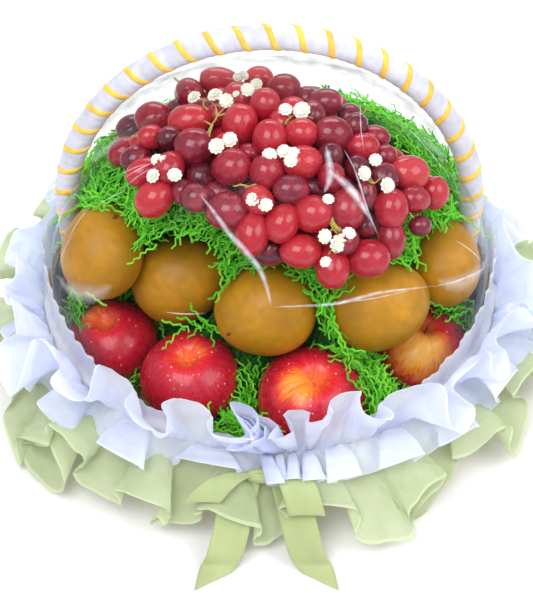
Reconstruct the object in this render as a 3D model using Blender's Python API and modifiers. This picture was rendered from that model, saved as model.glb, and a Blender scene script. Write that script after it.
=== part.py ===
"""Fruit gift basket: a round tub with a hooped handle, piled with apples, kiwis and
a bunch of grapes on shredded paper, under a clear film dome, dressed with a white and
a green cloth ruffle and a ribbon bow. The origin is the centre of the flat base, the
front is -Y and up is +Z. Lengths are in metres."""

import math
import random

import bmesh
import bpy
from mathutils import Euler, Matrix, Vector

MM = 0.001
CLEARANCE = 0.5 * MM
MERGE = 0.000004

# Tub
TUB_RADIUS = 163 * MM
TUB_HEIGHT = 62 * MM
TUB_WALL = 3 * MM
TUB_FLOOR = 3.5 * MM
TUB_BASE_RADIUS = 152 * MM
TUB_CORNER = 11 * MM
TUB_STEPS = 32

# Handle: a half hoop on two straight legs, wound with a narrow ribbon
HANDLE_RADIUS = 141.7 * MM
HANDLE_TUBE = 7 * MM
HANDLE_SPRING = 126 * MM
LEG_FOOT = 9 * MM
HOOP_STEPS = 24
WINDING_PITCH = 18.5 * MM
WINDING_WIDTH = 4.6 * MM
WINDING_INNER = 8.45 * MM
WINDING_OUTER = 9 * MM
WINDING_START = 84 * MM
WINDING_SIDES = 6

# Film dome, with a notch round each leg of the handle
FILM_RADIUS = 158 * MM
FILM_THICKNESS = 0.5 * MM
FILM_BOTTOM = 47 * MM
FILM_SPRING = 95 * MM
FILM_TOP = 225 * MM
FILM_COLUMNS_PER_SIDE = 11
FILM_ROWS_BESIDE_NOTCH = 3
FILM_ROWS_ABOVE_NOTCH = 5
NOTCH_HALF_ANGLE = math.radians(4.8)
NOTCH_TOP = 172 * MM
DOME_FLATTENING = 0.22
LEG_PINCH = 0.045
LEG_PINCH_WIDTH = math.radians(8)

# Fruit: centre in millimetres, then its own sizes
APPLE_HEIGHT_SHARE = 0.87
APPLE_STEPS = 11
APPLE_POLARS = (0, 9, 18, 30, 46, 66, 88, 110, 132, 152, 167, 180)
APPLE_SHOULDER = 0.05
CAVITY_REACH = 0.46
STEM_CAVITY_DEPTH = 0.34
EYE_CAVITY_DEPTH = 0.2
KIWI_TAPER = 0.1
KIWI_NUB = 0.05
APPLES = {
    "apple_1": ((-113.5, -45, 37), 32.5, (6, -8)),
    "apple_2": ((-55.5, -87, 45), 34.5, (10, -4)),
    "apple_3": ((29.5, -105, 42), 38.5, (12, 3)),
    "apple_4": ((108, -50, 36), 35.5, (8, 8)),
}
KIWIS = {
    "kiwi_1": ((-115, -38, 121), (34.0, 28), (80, 50)),
    "kiwi_2": ((-62.5, -31, 88), (36.0, 31.5), (0, 24)),
    "kiwi_3": ((-3, -71, 97), (35.5, 32.5), (-170, -12)),
    "kiwi_4": ((74, -71, 102), (35.5, 31.5), (-5, 22)),
    "kiwi_5": ((122, -34, 105.5), (31.0, 24.5), (85, 45)),
}

# Shredded paper: the mound behind and between the fruit
MOUND_INSET = 10 * MM
MOUND_FRONT_INSET = 40 * MM
MOUND_GAP = 1 * MM
MOUND_LUMP = 1.6 * MM
MOUND_FOOT_RADIUS = TUB_BASE_RADIUS - TUB_WALL - 2 * MM
MOUND_PEAK_SHARE = 0.12
MOUND_COLUMNS = 24
MOUND_ROWS = 9
STRIP_COUNT = 24
STRIP_TRIES = 1500
STRIP_WIDTH = 2.4 * MM
STRIP_THICKNESS = 1.2 * MM
STRIP_STEP = 7.5 * MM
STRIP_STEPS = 4
STRIP_ZIGZAG = 1.6 * MM
STRIP_LIFT = 0.9 * MM
STRIP_STARTS = (60 * MM, 185 * MM)
STRIP_LIMITS = (50 * MM, 190 * MM)
STRIP_BUNCH_GAP = math.radians(13)
LEG_GAP_ACROSS = 16 * MM
LEG_GAP_FROM = 110 * MM
LEG_CHANNEL = 9.6 * MM

# Bunch of grapes: laid over the dome round an axis that leans to the front
DOME_POLE = Vector((0, 0, 95 * MM))
BUNCH_ELEVATION = math.radians(75)
BUNCH_AZIMUTH = math.radians(-80)
BUNCH_REACH = (59, 57, 50, 43, 47, 60, 46, 26, 31, 35, 47, 50)
BUNCH_SPREAD = math.radians(62)
GRAPE_COUNT = 50
GRAPE_TRIES = 40
GRAPE_RADIUS = (10.4 * MM, 12.2 * MM)
GRAPE_STRETCH = 1.16
GRAPE_INSET = 18 * MM
GRAPE_DEPTH_SPREAD = 4 * MM
CORE_INSET = 22 * MM
CORE_FLOOR = 46 * MM
CORE_COLUMNS = 18
CORE_RINGS = 3
CORE_SHARE = 0.94
SPRAY_COUNT = 9
SPRAY_FIRST = 7
SPRAY_STEP = 5
FLOWERS_PER_SPRAY = 2
FLOWER_RADIUS = 4.4 * MM
FLOWER_LEAN = 0.75
FLOWER_LIFT = 1.02

# Ruffles: cloth gathered on the outside of the rim
GATHER_RADIUS = 165.3 * MM
CLOTH_THICKNESS = 0.9 * MM
WHITE_WAVES = 20
WHITE_GATHER = 59 * MM
WHITE_TOP = 92 * MM
WHITE_TOP_RADIUS = 171 * MM
WHITE_RIM = 62 * MM
WHITE_RIM_RADIUS = 182 * MM
WHITE_RIM_SPREAD = 12 * MM
WHITE_SWING = 7 * MM
WHITE_FOLD_OUT = 9 * MM
WHITE_FOLD_RISE = 2 * MM
WHITE_SLOW_SWING = 3 * MM
WHITE_QUICK_SWING = 2 * MM
GREEN_WAVES = 24
GREEN_GATHER = 49 * MM
GREEN_SHOULDER = 38 * MM
GREEN_SHOULDER_RADIUS = 182 * MM
GREEN_SHOULDER_SHARE = 0.3
GREEN_HEM = 12 * MM
GREEN_HEM_RISE = 30 * MM
GREEN_HEM_RADIUS = 207 * MM
GREEN_HEM_NARROWING = 8 * MM
GREEN_HEM_SWING = 2 * MM
GREEN_SWING = 8 * MM
STEPS_PER_WAVE = 4

# Bow on the front of the green ruffle
RIBBON_WIDTH = 24 * MM
RIBBON_THICKNESS = 0.8 * MM
KNOT = Vector((-3 * MM, -170 * MM, 45 * MM))
KNOT_SIZES = (13 * MM, 5 * MM, 5 * MM)
KNOT_DOWN = 2 * MM
KNOT_LIFT = 9.5 * MM
BOW_HALF_ANGLE = math.radians(21)
BOW_EASE_ANGLE = math.radians(10)
LOOP_PATH = ((0, 10.5), (8, 15), (22, 17), (33, 15.5), (38, 12), (34, 9), (20, 8.4), (2, 7))
LOOPS = {"loop_left": (-14, -44, 0.52), "loop_right": (11, 24, 0.74)}
TAIL_ON_CLOTH = ((0, 6.5), (15, 5.6), (35, 5), (52, 4.5))
TAIL_TO_TABLE = ((-215.5, 5), (-219, 1.4))
TAILS = {"tail_left": (-16, -37), "tail_right": (10, 33)}
TAIL_POINT = 14 * MM

FRONT = -math.pi / 2
random_source = random.Random(13)


def material(name, colour, roughness, metallic=0.0):
    """A plain Principled material."""
    made = bpy.data.materials.new(name)
    made.use_nodes = True
    shader = made.node_tree.nodes["Principled BSDF"]
    shader.inputs["Base Color"].default_value = (*colour, 1)
    shader.inputs["Roughness"].default_value = roughness
    shader.inputs["Metallic"].default_value = metallic
    made.diffuse_color = (*colour, 1)
    return made


def add_object(name, mesh, collection, finish=None):
    """Link a mesh to a collection as a named object."""
    made = bpy.data.objects.new(name, mesh)
    collection.objects.link(made)
    if finish:
        mesh.materials.append(finish)
    return made


def mesh_from(name, form):
    """Turn a bmesh into a mesh and free it."""
    mesh = bpy.data.meshes.new(name)
    form.to_mesh(mesh)
    form.free()
    return mesh


def add_solidify(target, thickness, offset):
    """Give an open surface its thickness."""
    shell = target.modifiers.new("Thickness", "SOLIDIFY")
    shell.thickness = thickness
    shell.offset = offset
    shell.use_even_offset = False


def apply_modifiers(target):
    """Replace the object's mesh by its evaluated one."""
    graph = bpy.context.evaluated_depsgraph_get()
    evaluated = target.evaluated_get(graph)
    mesh = bpy.data.meshes.new_from_object(evaluated)
    target.modifiers.clear()
    target.data = mesh


def remove_objects(collection):
    """Delete every object of a collection, then the collection."""
    for member in list(collection.objects):
        bpy.data.objects.remove(member)
    bpy.data.collections.remove(collection)


def boolean(target, operation, collection, solver="EXACT"):
    """Join or cut the object with a collection, which is then removed."""
    step = target.modifiers.new("Join", "BOOLEAN")
    step.operation = operation
    step.operand_type = "COLLECTION"
    step.collection = collection
    step.solver = solver
    apply_modifiers(target)
    remove_objects(collection)


def keep_largest_piece(target):
    """Weld the mesh and drop loose scraps and sealed hollows."""
    form = bmesh.new()
    form.from_mesh(target.data)
    bmesh.ops.remove_doubles(form, verts=form.verts, dist=MERGE)
    bmesh.ops.dissolve_degenerate(form, edges=form.edges, dist=MERGE)
    bmesh.ops.triangulate(form, faces=form.faces)
    pieces = []
    waiting = set(form.verts)
    while waiting:
        stack = [waiting.pop()]
        piece = list(stack)
        while stack:
            for edge in stack.pop().link_edges:
                for corner in edge.verts:
                    if corner in waiting:
                        waiting.remove(corner)
                        stack.append(corner)
                        piece.append(corner)
        pieces.append(piece)
    pieces.sort(key=len)
    for piece in pieces[:-1]:
        bmesh.ops.delete(form, geom=piece, context="VERTS")
    form.to_mesh(target.data)
    form.free()


def scratch_collection(name):
    """A collection for pieces that are joined or cut away."""
    made = bpy.data.collections.new(name)
    bpy.context.scene.collection.children.link(made)
    return made


def grid_surface(name, rows, closed):
    """A surface through rows of points; closed joins the last column to the first."""
    form = bmesh.new()
    corners = [[form.verts.new(point) for point in row] for row in rows]
    columns = len(rows[0])
    last = columns if closed else columns - 1
    for lower, upper in zip(corners, corners[1:]):
        for column in range(last):
            following = (column + 1) % columns
            form.faces.new((lower[column], lower[following], upper[following], upper[column]))
    bmesh.ops.triangulate(form, faces=form.faces)
    return mesh_from(name, form)


def dome_radius(theta, share):
    """Radius of the film at an angle and a share of the dome's height."""
    from_leg = abs(math.remainder(theta, math.pi))
    flattened = 1 - DOME_FLATTENING * math.sin(theta) ** 4 * math.sin(math.pi * share)
    pinched = 1 - LEG_PINCH * math.exp(-((from_leg / LEG_PINCH_WIDTH) ** 2))
    return FILM_RADIUS * math.sqrt(max(0.0, 1 - share * share)) * flattened * pinched


def radius_at(theta, height):
    """Radius of the film at an angle and a height above the table."""
    share = (height - FILM_SPRING) / (FILM_TOP - FILM_SPRING)
    return dome_radius(theta, min(max(share, 0.0), 1.0))


def on_dome(direction, inset):
    """Point of the dome seen from its pole along a direction, moved inward by inset."""
    near, far = 0.0, 250 * MM
    for _ in range(30):
        middle = (near + far) / 2
        point = DOME_POLE + direction * middle
        across = math.hypot(point.x, point.y)
        inside = point.z < FILM_TOP
        if inside:
            inside = across < radius_at(math.atan2(point.y, point.x), point.z)
        if inside:
            near = middle
        else:
            far = middle
    return DOME_POLE + direction * (near - inset)


def bunch_direction(spread, turn):
    """Direction at an angle from the bunch's axis, turned round that axis."""
    level = math.cos(BUNCH_ELEVATION)
    axis = Vector((level * math.cos(BUNCH_AZIMUTH), level * math.sin(BUNCH_AZIMUTH), 0))
    axis.z = math.sin(BUNCH_ELEVATION)
    right = axis.cross(Vector((0, 0, 1))).normalized() * -1
    up = right.cross(axis) * -1
    side = right * math.cos(turn) + up * math.sin(turn)
    return axis * math.cos(spread) + side * math.sin(spread)


def bunch_reach(turn):
    """How far the bunch spreads from its axis, as an angle."""
    place = (turn / math.tau % 1) * len(BUNCH_REACH)
    index = int(place)
    share = (1 - math.cos((place - index) * math.pi)) / 2
    near = BUNCH_REACH[index % len(BUNCH_REACH)]
    far = BUNCH_REACH[(index + 1) % len(BUNCH_REACH)]
    return math.radians(near + (far - near) * share)


def make_tub(parts, finish):
    """The round tub that holds everything, a turned wall and floor."""
    inner = TUB_RADIUS - TUB_WALL
    profile = (
        (0, TUB_FLOOR),
        (TUB_BASE_RADIUS - TUB_WALL, TUB_FLOOR),
        (inner, TUB_CORNER + TUB_FLOOR),
        (inner, TUB_HEIGHT),
        (TUB_RADIUS, TUB_HEIGHT),
        (TUB_RADIUS, TUB_CORNER),
        (TUB_BASE_RADIUS, 0),
        (0, 0),
    )
    form = bmesh.new()
    corners = [form.verts.new((radius, 0, height)) for radius, height in profile]
    for first, second in zip(corners, corners[1:]):
        form.edges.new((first, second))
    tub = add_object("basket", mesh_from("basket", form), parts, finish)
    turn = tub.modifiers.new("Turn", "SCREW")
    turn.steps = TUB_STEPS
    turn.render_steps = TUB_STEPS
    turn.use_merge_vertices = True
    turn.merge_threshold = MERGE


def handle_point(distance):
    """Point of the handle's centre line and its direction, by distance from the left foot."""
    leg = HANDLE_SPRING - LEG_FOOT
    arch = math.pi * HANDLE_RADIUS
    if distance <= leg:
        return Vector((-HANDLE_RADIUS, 0, LEG_FOOT + distance)), Vector((0, 0, 1))
    if distance >= leg + arch:
        height = HANDLE_SPRING - (distance - leg - arch)
        return Vector((HANDLE_RADIUS, 0, height)), Vector((0, 0, -1))
    turn = math.pi - (distance - leg) / HANDLE_RADIUS
    point = Vector((HANDLE_RADIUS * math.cos(turn), 0, HANDLE_RADIUS * math.sin(turn)))
    point.z += HANDLE_SPRING
    return point, Vector((math.sin(turn), 0, -math.cos(turn)))


def handle_length():
    """Length of the handle's centre line."""
    return 2 * (HANDLE_SPRING - LEG_FOOT) + math.pi * HANDLE_RADIUS


def make_handle(parts, finish):
    """The hoop and its two legs as one round tube."""
    leg = HANDLE_SPRING - LEG_FOOT
    arch = math.pi * HANDLE_RADIUS
    distances = [0.0]
    distances += [leg + arch * step / HOOP_STEPS for step in range(HOOP_STEPS + 1)]
    distances.append(handle_length())
    curve = bpy.data.curves.new("handle", "CURVE")
    curve.dimensions = "3D"
    curve.bevel_depth = HANDLE_TUBE
    curve.bevel_resolution = 2
    curve.use_fill_caps = True
    spline = curve.splines.new("POLY")
    spline.points.add(len(distances) - 1)
    for point, distance in zip(spline.points, distances):
        point.co = (*handle_point(distance)[0], 1)
    add_object("handle", curve, parts, finish)


def make_winding(parts, finish):
    """The narrow ribbon wound round the handle, a helical strip."""
    start = WINDING_START - LEG_FOOT
    length = handle_length() - 2 * start
    steps = round(length / WINDING_PITCH * WINDING_SIDES)
    rings = []
    for step in range(steps + 1):
        centre, along = handle_point(start + length * step / steps)
        inward = Vector((0, 1, 0)).cross(along)
        turn = -math.tau * step / WINDING_SIDES
        outward = Vector((0, 1, 0)) * math.cos(turn) + inward * math.sin(turn)
        middle = centre + outward * WINDING_OUTER
        edge = centre + outward * WINDING_INNER
        shift = along * (WINDING_WIDTH / 2)
        rings.append((edge - shift, edge + shift, middle))
    form = bmesh.new()
    corners = [[form.verts.new(point) for point in ring] for ring in rings]
    for ring, following in zip(corners, corners[1:]):
        for index in range(3):
            beside = (index + 1) % 3
            form.faces.new((ring[index], ring[beside], following[beside], following[index]))
    form.faces.new(corners[0])
    form.faces.new(corners[-1][::-1])
    bmesh.ops.triangulate(form, faces=form.faces)
    bmesh.ops.recalc_face_normals(form, faces=form.faces)
    add_object("handle_winding", mesh_from("handle_winding", form), parts, finish)


def leg_angles():
    """Angles of the film's columns, from notch edge to notch edge on both sides."""
    span = math.pi - 2 * NOTCH_HALF_ANGLE
    angles = []
    for side in (0, math.pi):
        for column in range(FILM_COLUMNS_PER_SIDE + 1):
            angles.append(side + NOTCH_HALF_ANGLE + span * column / FILM_COLUMNS_PER_SIDE)
    return angles


def make_film(parts, finish):
    """The clear film: a skirt tucked inside the rim and a dome over the fruit."""
    notch_share = (NOTCH_TOP - FILM_SPRING) / (FILM_TOP - FILM_SPRING)
    notch_turn = math.asin(notch_share)
    crown_turn = math.pi / 2 - notch_turn
    beside = range(FILM_ROWS_BESIDE_NOTCH + 1)
    above = range(1, FILM_ROWS_ABOVE_NOTCH)
    turns = [notch_turn * step / FILM_ROWS_BESIDE_NOTCH for step in beside]
    turns += [notch_turn + crown_turn * step / FILM_ROWS_ABOVE_NOTCH for step in above]
    levels = [(FILM_BOTTOM, 0.0), ((FILM_BOTTOM + FILM_SPRING) / 2, 0.0)]
    rise = FILM_TOP - FILM_SPRING
    levels += [(FILM_SPRING + rise * math.sin(turn), math.sin(turn)) for turn in turns]
    angles = leg_angles()
    notch_columns = (FILM_COLUMNS_PER_SIDE, len(angles) - 1)
    form = bmesh.new()
    rows = []
    for height, share in levels:
        row = []
        for theta in angles:
            radius = dome_radius(theta, share)
            point = (radius * math.cos(theta), radius * math.sin(theta), height)
            row.append(form.verts.new(point))
        rows.append(row)
    for level, (lower, upper) in enumerate(zip(rows, rows[1:])):
        for column in range(len(angles)):
            if column in notch_columns and levels[level + 1][0] <= NOTCH_TOP + MERGE:
                continue
            beside = (column + 1) % len(angles)
            form.faces.new((lower[column], lower[beside], upper[beside], upper[column]))
    top = form.verts.new((0, 0, FILM_TOP))
    for column in range(len(angles)):
        form.faces.new((rows[-1][column], rows[-1][(column + 1) % len(angles)], top))
    bmesh.ops.triangulate(form, faces=form.faces)
    film = add_object("film", mesh_from("film", form), parts, finish)
    add_solidify(film, FILM_THICKNESS, -1)


def apple_profile(radius):
    """Half outline of an apple from the stem cavity round to the eye."""
    outline = []
    for polar in APPLE_POLARS:
        turn = math.radians(polar)
        across = math.sin(turn) * (1 + APPLE_SHOULDER * math.cos(turn))
        height = APPLE_HEIGHT_SHARE * math.cos(turn)
        near_axis = max(0.0, 1 - across / CAVITY_REACH)
        if polar < 90:
            height -= STEM_CAVITY_DEPTH * near_axis ** 2
        else:
            height += EYE_CAVITY_DEPTH * near_axis ** 2
        outline.append((radius * across, radius * height))
    outline[0] = (0, outline[0][1])
    outline[-1] = (0, outline[-1][1])
    return outline


def make_apple(name, collection, centre, radius, lean, finish=None):
    """An apple turned from its half outline and leaned a little."""
    form = bmesh.new()
    corners = [form.verts.new((across, 0, height)) for across, height in apple_profile(radius)]
    for first, second in zip(corners, corners[1:]):
        form.edges.new((first, second))
    apple = add_object(name, mesh_from(name, form), collection, finish)
    apple.location = Vector(centre) * MM
    apple.rotation_euler = (math.radians(lean[0]), math.radians(lean[1]), 0)
    turn = apple.modifiers.new("Turn", "SCREW")
    turn.steps = APPLE_STEPS
    turn.render_steps = APPLE_STEPS
    turn.use_merge_vertices = True
    turn.merge_threshold = MERGE
    turn.use_smooth_shade = True
    return apple


def make_kiwi(name, collection, centre, sizes, turns, finish=None):
    """A kiwi: an egg-shaped ball with a small nub on its narrow end."""
    half_length, half_width = sizes
    form = bmesh.new()
    bmesh.ops.create_uvsphere(form, u_segments=11, v_segments=8, radius=1)
    bmesh.ops.rotate(form, verts=form.verts, matrix=Matrix.Rotation(math.pi / 2, 3, "Y"))
    for corner in form.verts:
        along = corner.co.x
        taper = 1 - KIWI_TAPER * along
        nub = KIWI_NUB if along > 0.99 else 0.0
        corner.co.x = half_length * (along + nub)
        corner.co.y *= half_width * taper
        corner.co.z *= half_width * taper
    mesh = mesh_from(name, form)
    mesh.shade_smooth()
    kiwi = add_object(name, mesh, collection, finish)
    kiwi.location = Vector(centre) * MM
    kiwi.rotation_euler = (0, -math.radians(turns[1]), math.radians(turns[0]))
    return kiwi


def add_fruit_cutters(collection, names):
    """The fruit, a little larger, to cut its beds in the mound and the bunch."""
    for name in names:
        if name in APPLES:
            centre, radius, lean = APPLES[name]
            radius = radius * MM + CLEARANCE
            make_apple(name + "_bed", collection, centre, radius, lean)
        else:
            centre, sizes, turns = KIWIS[name]
            larger = [size * MM + CLEARANCE for size in sizes]
            make_kiwi(name + "_bed", collection, centre, larger, turns)
    for member in collection.objects:
        member.hide_render = True
        member.display_type = "WIRE"


def mound_inset(theta):
    """How far the shredded paper lies inside the film: deeper at the front."""
    front = max(0.0, -math.sin(theta))
    return MOUND_INSET + MOUND_FRONT_INSET * front ** 0.8


def mound_mesh(name, growth):
    """The mound's closed form, with soft lumps; growth moves its surface outward."""
    bottom = TUB_FLOOR + MOUND_GAP - growth
    top = FILM_TOP - 3 * MOUND_INSET + growth
    rows = []
    for row in range(MOUND_ROWS):
        turn = math.pi / 2 * row / MOUND_ROWS
        ring = []
        for column in range(MOUND_COLUMNS):
            theta = math.tau * column / MOUND_COLUMNS
            lump = MOUND_LUMP * math.sin(3 * row + 5 * theta) * math.cos(7 * theta - row)
            inset = mound_inset(theta) - lump
            height = bottom + (top - bottom) * math.sin(turn)
            share = math.sin(turn)
            wide = FILM_RADIUS - inset
            if row == 0:
                wide = min(wide, MOUND_FOOT_RADIUS)
            outer = radius_at(theta, height + 2 * MOUND_INSET) - inset
            least = MOUND_PEAK_SHARE * FILM_RADIUS * (1 - share)
            radius = min(wide, max(outer, least)) + growth
            ring.append((radius * math.cos(theta), radius * math.sin(theta), height))
        rows.append(ring)
    form = bmesh.new()
    corners = [[form.verts.new(point) for point in ring] for ring in rows]
    for lower, upper in zip(corners, corners[1:]):
        for column in range(MOUND_COLUMNS):
            beside = (column + 1) % MOUND_COLUMNS
            form.faces.new((lower[column], lower[beside], upper[beside], upper[column]))
    form.faces.new(corners[0][::-1])
    peak = form.verts.new((0, 0, top))
    for column in range(MOUND_COLUMNS):
        form.faces.new((corners[-1][column], corners[-1][(column + 1) % MOUND_COLUMNS], peak))
    bmesh.ops.triangulate(form, faces=form.faces)
    return mesh_from(name, form)


def clear_of_fruit(point, margin):
    """Whether a point stays clear of every apple and kiwi."""
    for centre, radius, _ in APPLES.values():
        if (point - Vector(centre) * MM).length < radius * MM + margin:
            return False
    for centre, sizes, _ in KIWIS.values():
        if (point - Vector(centre) * MM).length < sizes[0] * MM + margin:
            return False
    return True


def clear_of_bunch(point):
    """Whether a point of the mound lies outside the bunch of grapes."""
    away = (point - DOME_POLE).normalized()
    axis = bunch_direction(0, 0)
    spread = axis.angle(away)
    right = bunch_direction(math.pi / 2, 0)
    up = bunch_direction(math.pi / 2, math.pi / 2)
    turn = math.atan2(away.dot(up), away.dot(right))
    return spread > bunch_reach(turn) + STRIP_BUNCH_GAP


def strip_mesh(name, points, outward):
    """One crinkled paper strip along a zigzag."""
    form = bmesh.new()
    rings = []
    for index, point in enumerate(points):
        before = points[max(index - 1, 0)]
        after = points[min(index + 1, len(points) - 1)]
        along = (after - before).normalized()
        side = along.cross(outward).normalized() * (STRIP_WIDTH / 2)
        lift = side.cross(along).normalized() * (STRIP_THICKNESS / 2)
        ring = (point - side - lift, point + side - lift, point + lift)
        rings.append([form.verts.new(corner) for corner in ring])
    for ring, following in zip(rings, rings[1:]):
        for index in range(3):
            beside = (index + 1) % 3
            form.faces.new((ring[index], ring[beside], following[beside], following[index]))
    form.faces.new(rings[0])
    form.faces.new(rings[-1][::-1])
    bmesh.ops.triangulate(form, faces=form.faces)
    bmesh.ops.recalc_face_normals(form, faces=form.faces)
    return mesh_from(name, form)


def mound_point(theta, height, lift):
    """Point on the mound's side at an angle and height, lifted off its surface."""
    outer = radius_at(theta, height + 2 * MOUND_INSET) - mound_inset(theta)
    radius = outer + lift
    return Vector((radius * math.cos(theta), radius * math.sin(theta), height))


def strip_point_fits(point):
    """Whether a strip's point lies on open mound, away from fruit, grapes and legs."""
    if point.z < STRIP_LIMITS[0] or point.z > STRIP_LIMITS[1]:
        return False
    if abs(point.y) < LEG_GAP_ACROSS and abs(point.x) > LEG_GAP_FROM:
        return False
    return clear_of_fruit(point, STRIP_WIDTH) and clear_of_bunch(point)


def add_strips(collection):
    """Paper strips laid over the mound wherever it shows."""
    made = 0
    tries = 0
    while made < STRIP_COUNT and tries < STRIP_TRIES:
        tries += 1
        theta = random_source.uniform(-math.pi, math.pi)
        height = random_source.uniform(*STRIP_STARTS)
        heading = random_source.uniform(0, math.tau)
        points = []
        for step in range(STRIP_STEPS + 1):
            zigzag = 1 if step % 2 else -1
            along = STRIP_STEP * step
            radius = radius_at(theta, height)
            turn = theta + (along * math.cos(heading) + STRIP_ZIGZAG * zigzag) / radius
            rise = height + along * math.sin(heading)
            points.append(mound_point(turn, rise, STRIP_LIFT + STRIP_LIFT * zigzag))
        if all(strip_point_fits(point) for point in points):
            outward = Vector((math.cos(theta), math.sin(theta), 0.4)).normalized()
            add_object("strip", strip_mesh("strip", points, outward), collection)
            made += 1


def make_shred(parts, finish):
    """The mound of shredded paper with beds for the fruit and channels for the legs."""
    shred = add_object("paper_shred", mound_mesh("paper_shred", 0), parts, finish)
    beds = scratch_collection("Beds")
    add_fruit_cutters(beds, list(APPLES) + list(KIWIS))
    for side in (-1, 1):
        form = bmesh.new()
        bmesh.ops.create_cone(
            form, cap_ends=True, segments=12, radius1=LEG_CHANNEL, radius2=LEG_CHANNEL,
            depth=2 * NOTCH_TOP)
        channel = add_object("channel", mesh_from("channel", form), beds)
        channel.location = (side * HANDLE_RADIUS, 0, NOTCH_TOP + TUB_FLOOR / 2)
    boolean(shred, "DIFFERENCE", beds)
    keep_largest_piece(shred)
    strips = scratch_collection("Strips")
    add_strips(strips)
    boolean(shred, "UNION", strips)
    keep_largest_piece(shred)


def grape_places():
    """Centres, radii and directions of the grapes, spread evenly over the bunch."""
    places = []
    while len(places) < GRAPE_COUNT:
        best = None
        for _ in range(GRAPE_TRIES):
            turn = random_source.uniform(0, math.tau)
            spread = BUNCH_SPREAD * math.sqrt(random_source.random())
            inset = GRAPE_INSET + GRAPE_DEPTH_SPREAD * random_source.random()
            if spread > bunch_reach(turn):
                continue
            direction = bunch_direction(spread, turn)
            centre = on_dome(direction, inset)
            room = min([(centre - other[0]).length for other in places] or [1.0])
            if best is None or room > best[0]:
                best = (room, centre, direction)
        radius = random_source.uniform(*GRAPE_RADIUS)
        places.append((best[1], radius, best[2]))
    return places


def bunch_core_mesh(name):
    """The inside of the bunch: a slab that follows the dome under the grapes."""
    form = bmesh.new()
    layers = []
    for inset in (CORE_INSET, CORE_FLOOR):
        centre = form.verts.new(on_dome(bunch_direction(0, 0), inset))
        layer = []
        for ring in range(1, CORE_RINGS + 1):
            row = []
            for column in range(CORE_COLUMNS):
                turn = math.tau * column / CORE_COLUMNS
                spread = bunch_reach(turn) * CORE_SHARE * ring / CORE_RINGS
                row.append(form.verts.new(on_dome(bunch_direction(spread, turn), inset)))
            layer.append(row)
        layers.append((centre, layer))
    for centre, layer in layers:
        for column in range(CORE_COLUMNS):
            beside = (column + 1) % CORE_COLUMNS
            form.faces.new((centre, layer[0][column], layer[0][beside]))
            for inner, outer in zip(layer, layer[1:]):
                form.faces.new((inner[column], outer[column], outer[beside], inner[beside]))
    for column in range(CORE_COLUMNS):
        beside = (column + 1) % CORE_COLUMNS
        top = layers[0][1][-1]
        bottom = layers[1][1][-1]
        form.faces.new((top[column], bottom[column], bottom[beside], top[beside]))
    bmesh.ops.triangulate(form, faces=form.faces)
    bmesh.ops.recalc_face_normals(form, faces=form.faces)
    return mesh_from(name, form)


def make_bunch(parts, finish):
    """The bunch of grapes with its small flowers, fused to one core."""
    bunch = add_object("grape_bunch", bunch_core_mesh("grape_bunch"), parts, finish)
    grapes = scratch_collection("Grapes")
    places = grape_places()
    for centre, radius, _ in places:
        form = bmesh.new()
        bmesh.ops.create_uvsphere(form, u_segments=8, v_segments=5, radius=radius)
        stretch = Matrix.Diagonal((1, 1, GRAPE_STRETCH))
        bmesh.ops.transform(form, matrix=stretch.to_4x4(), verts=form.verts)
        grape = add_object("grape", mesh_from("grape", form), grapes)
        grape.location = centre
        tilts = [random_source.uniform(0, math.pi) for _ in range(3)]
        grape.rotation_euler = Euler(tilts)
    for spray in range(SPRAY_COUNT):
        chosen = (SPRAY_FIRST + spray * SPRAY_STEP) % GRAPE_COUNT
        centre, radius, direction = places[chosen]
        side = direction.orthogonal().normalized()
        for flower in range(FLOWERS_PER_SPRAY):
            swing = Matrix.Rotation(math.tau * flower / FLOWERS_PER_SPRAY + spray, 3, direction)
            lean = (direction + swing @ side * FLOWER_LEAN).normalized()
            form = bmesh.new()
            bmesh.ops.create_icosphere(form, subdivisions=1, radius=FLOWER_RADIUS)
            bloom = add_object("flower", mesh_from("flower", form), grapes)
            bloom.location = centre + lean * (radius * FLOWER_LIFT)
    boolean(bunch, "UNION", grapes, "MANIFOLD")
    under = scratch_collection("Under")
    add_object("mound_bed", mound_mesh("mound_bed", CLEARANCE), under)
    add_fruit_cutters(under, list(KIWIS))
    boolean(bunch, "DIFFERENCE", under, "MANIFOLD")
    keep_largest_piece(bunch)


def wave(theta, count, phase):
    """A soft wave round the rim."""
    return math.sin(count * theta + phase)


def make_white_ruffle(parts, finish):
    """The white ruffle: gathered on the rim, one frill up and one frill out."""
    columns = WHITE_WAVES * STEPS_PER_WAVE
    fold_radius = GATHER_RADIUS + WHITE_FOLD_OUT
    fold_height = WHITE_GATHER + WHITE_FOLD_RISE
    rows = [[] for _ in range(4)]
    for column in range(columns):
        theta = math.tau * column / columns
        unevenness = WHITE_SLOW_SWING * wave(theta, 3, 0) + WHITE_QUICK_SWING * wave(theta, 7, 1)
        swing = wave(theta, WHITE_WAVES, 0)
        wide = WHITE_RIM_RADIUS + WHITE_RIM_SPREAD * (1 - max(0.0, -math.sin(theta)) ** 2)
        stations = (
            (WHITE_TOP_RADIUS + WHITE_SWING * swing, WHITE_TOP + unevenness),
            (GATHER_RADIUS, WHITE_GATHER),
            (fold_radius, fold_height + WHITE_SWING / 2 * swing),
            (wide + unevenness, WHITE_RIM + WHITE_SWING * swing),
        )
        for row, (radius, height) in zip(rows, stations):
            row.append((radius * math.cos(theta), radius * math.sin(theta), height))
    ruffle = add_object("white_ruffle", grid_surface("white_ruffle", rows, True), parts, finish)
    add_solidify(ruffle, CLOTH_THICKNESS, 0)


def ease(value):
    """A soft step from 0 to 1."""
    share = min(max(value, 0.0), 1.0)
    return share * share * (3 - 2 * share)


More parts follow.
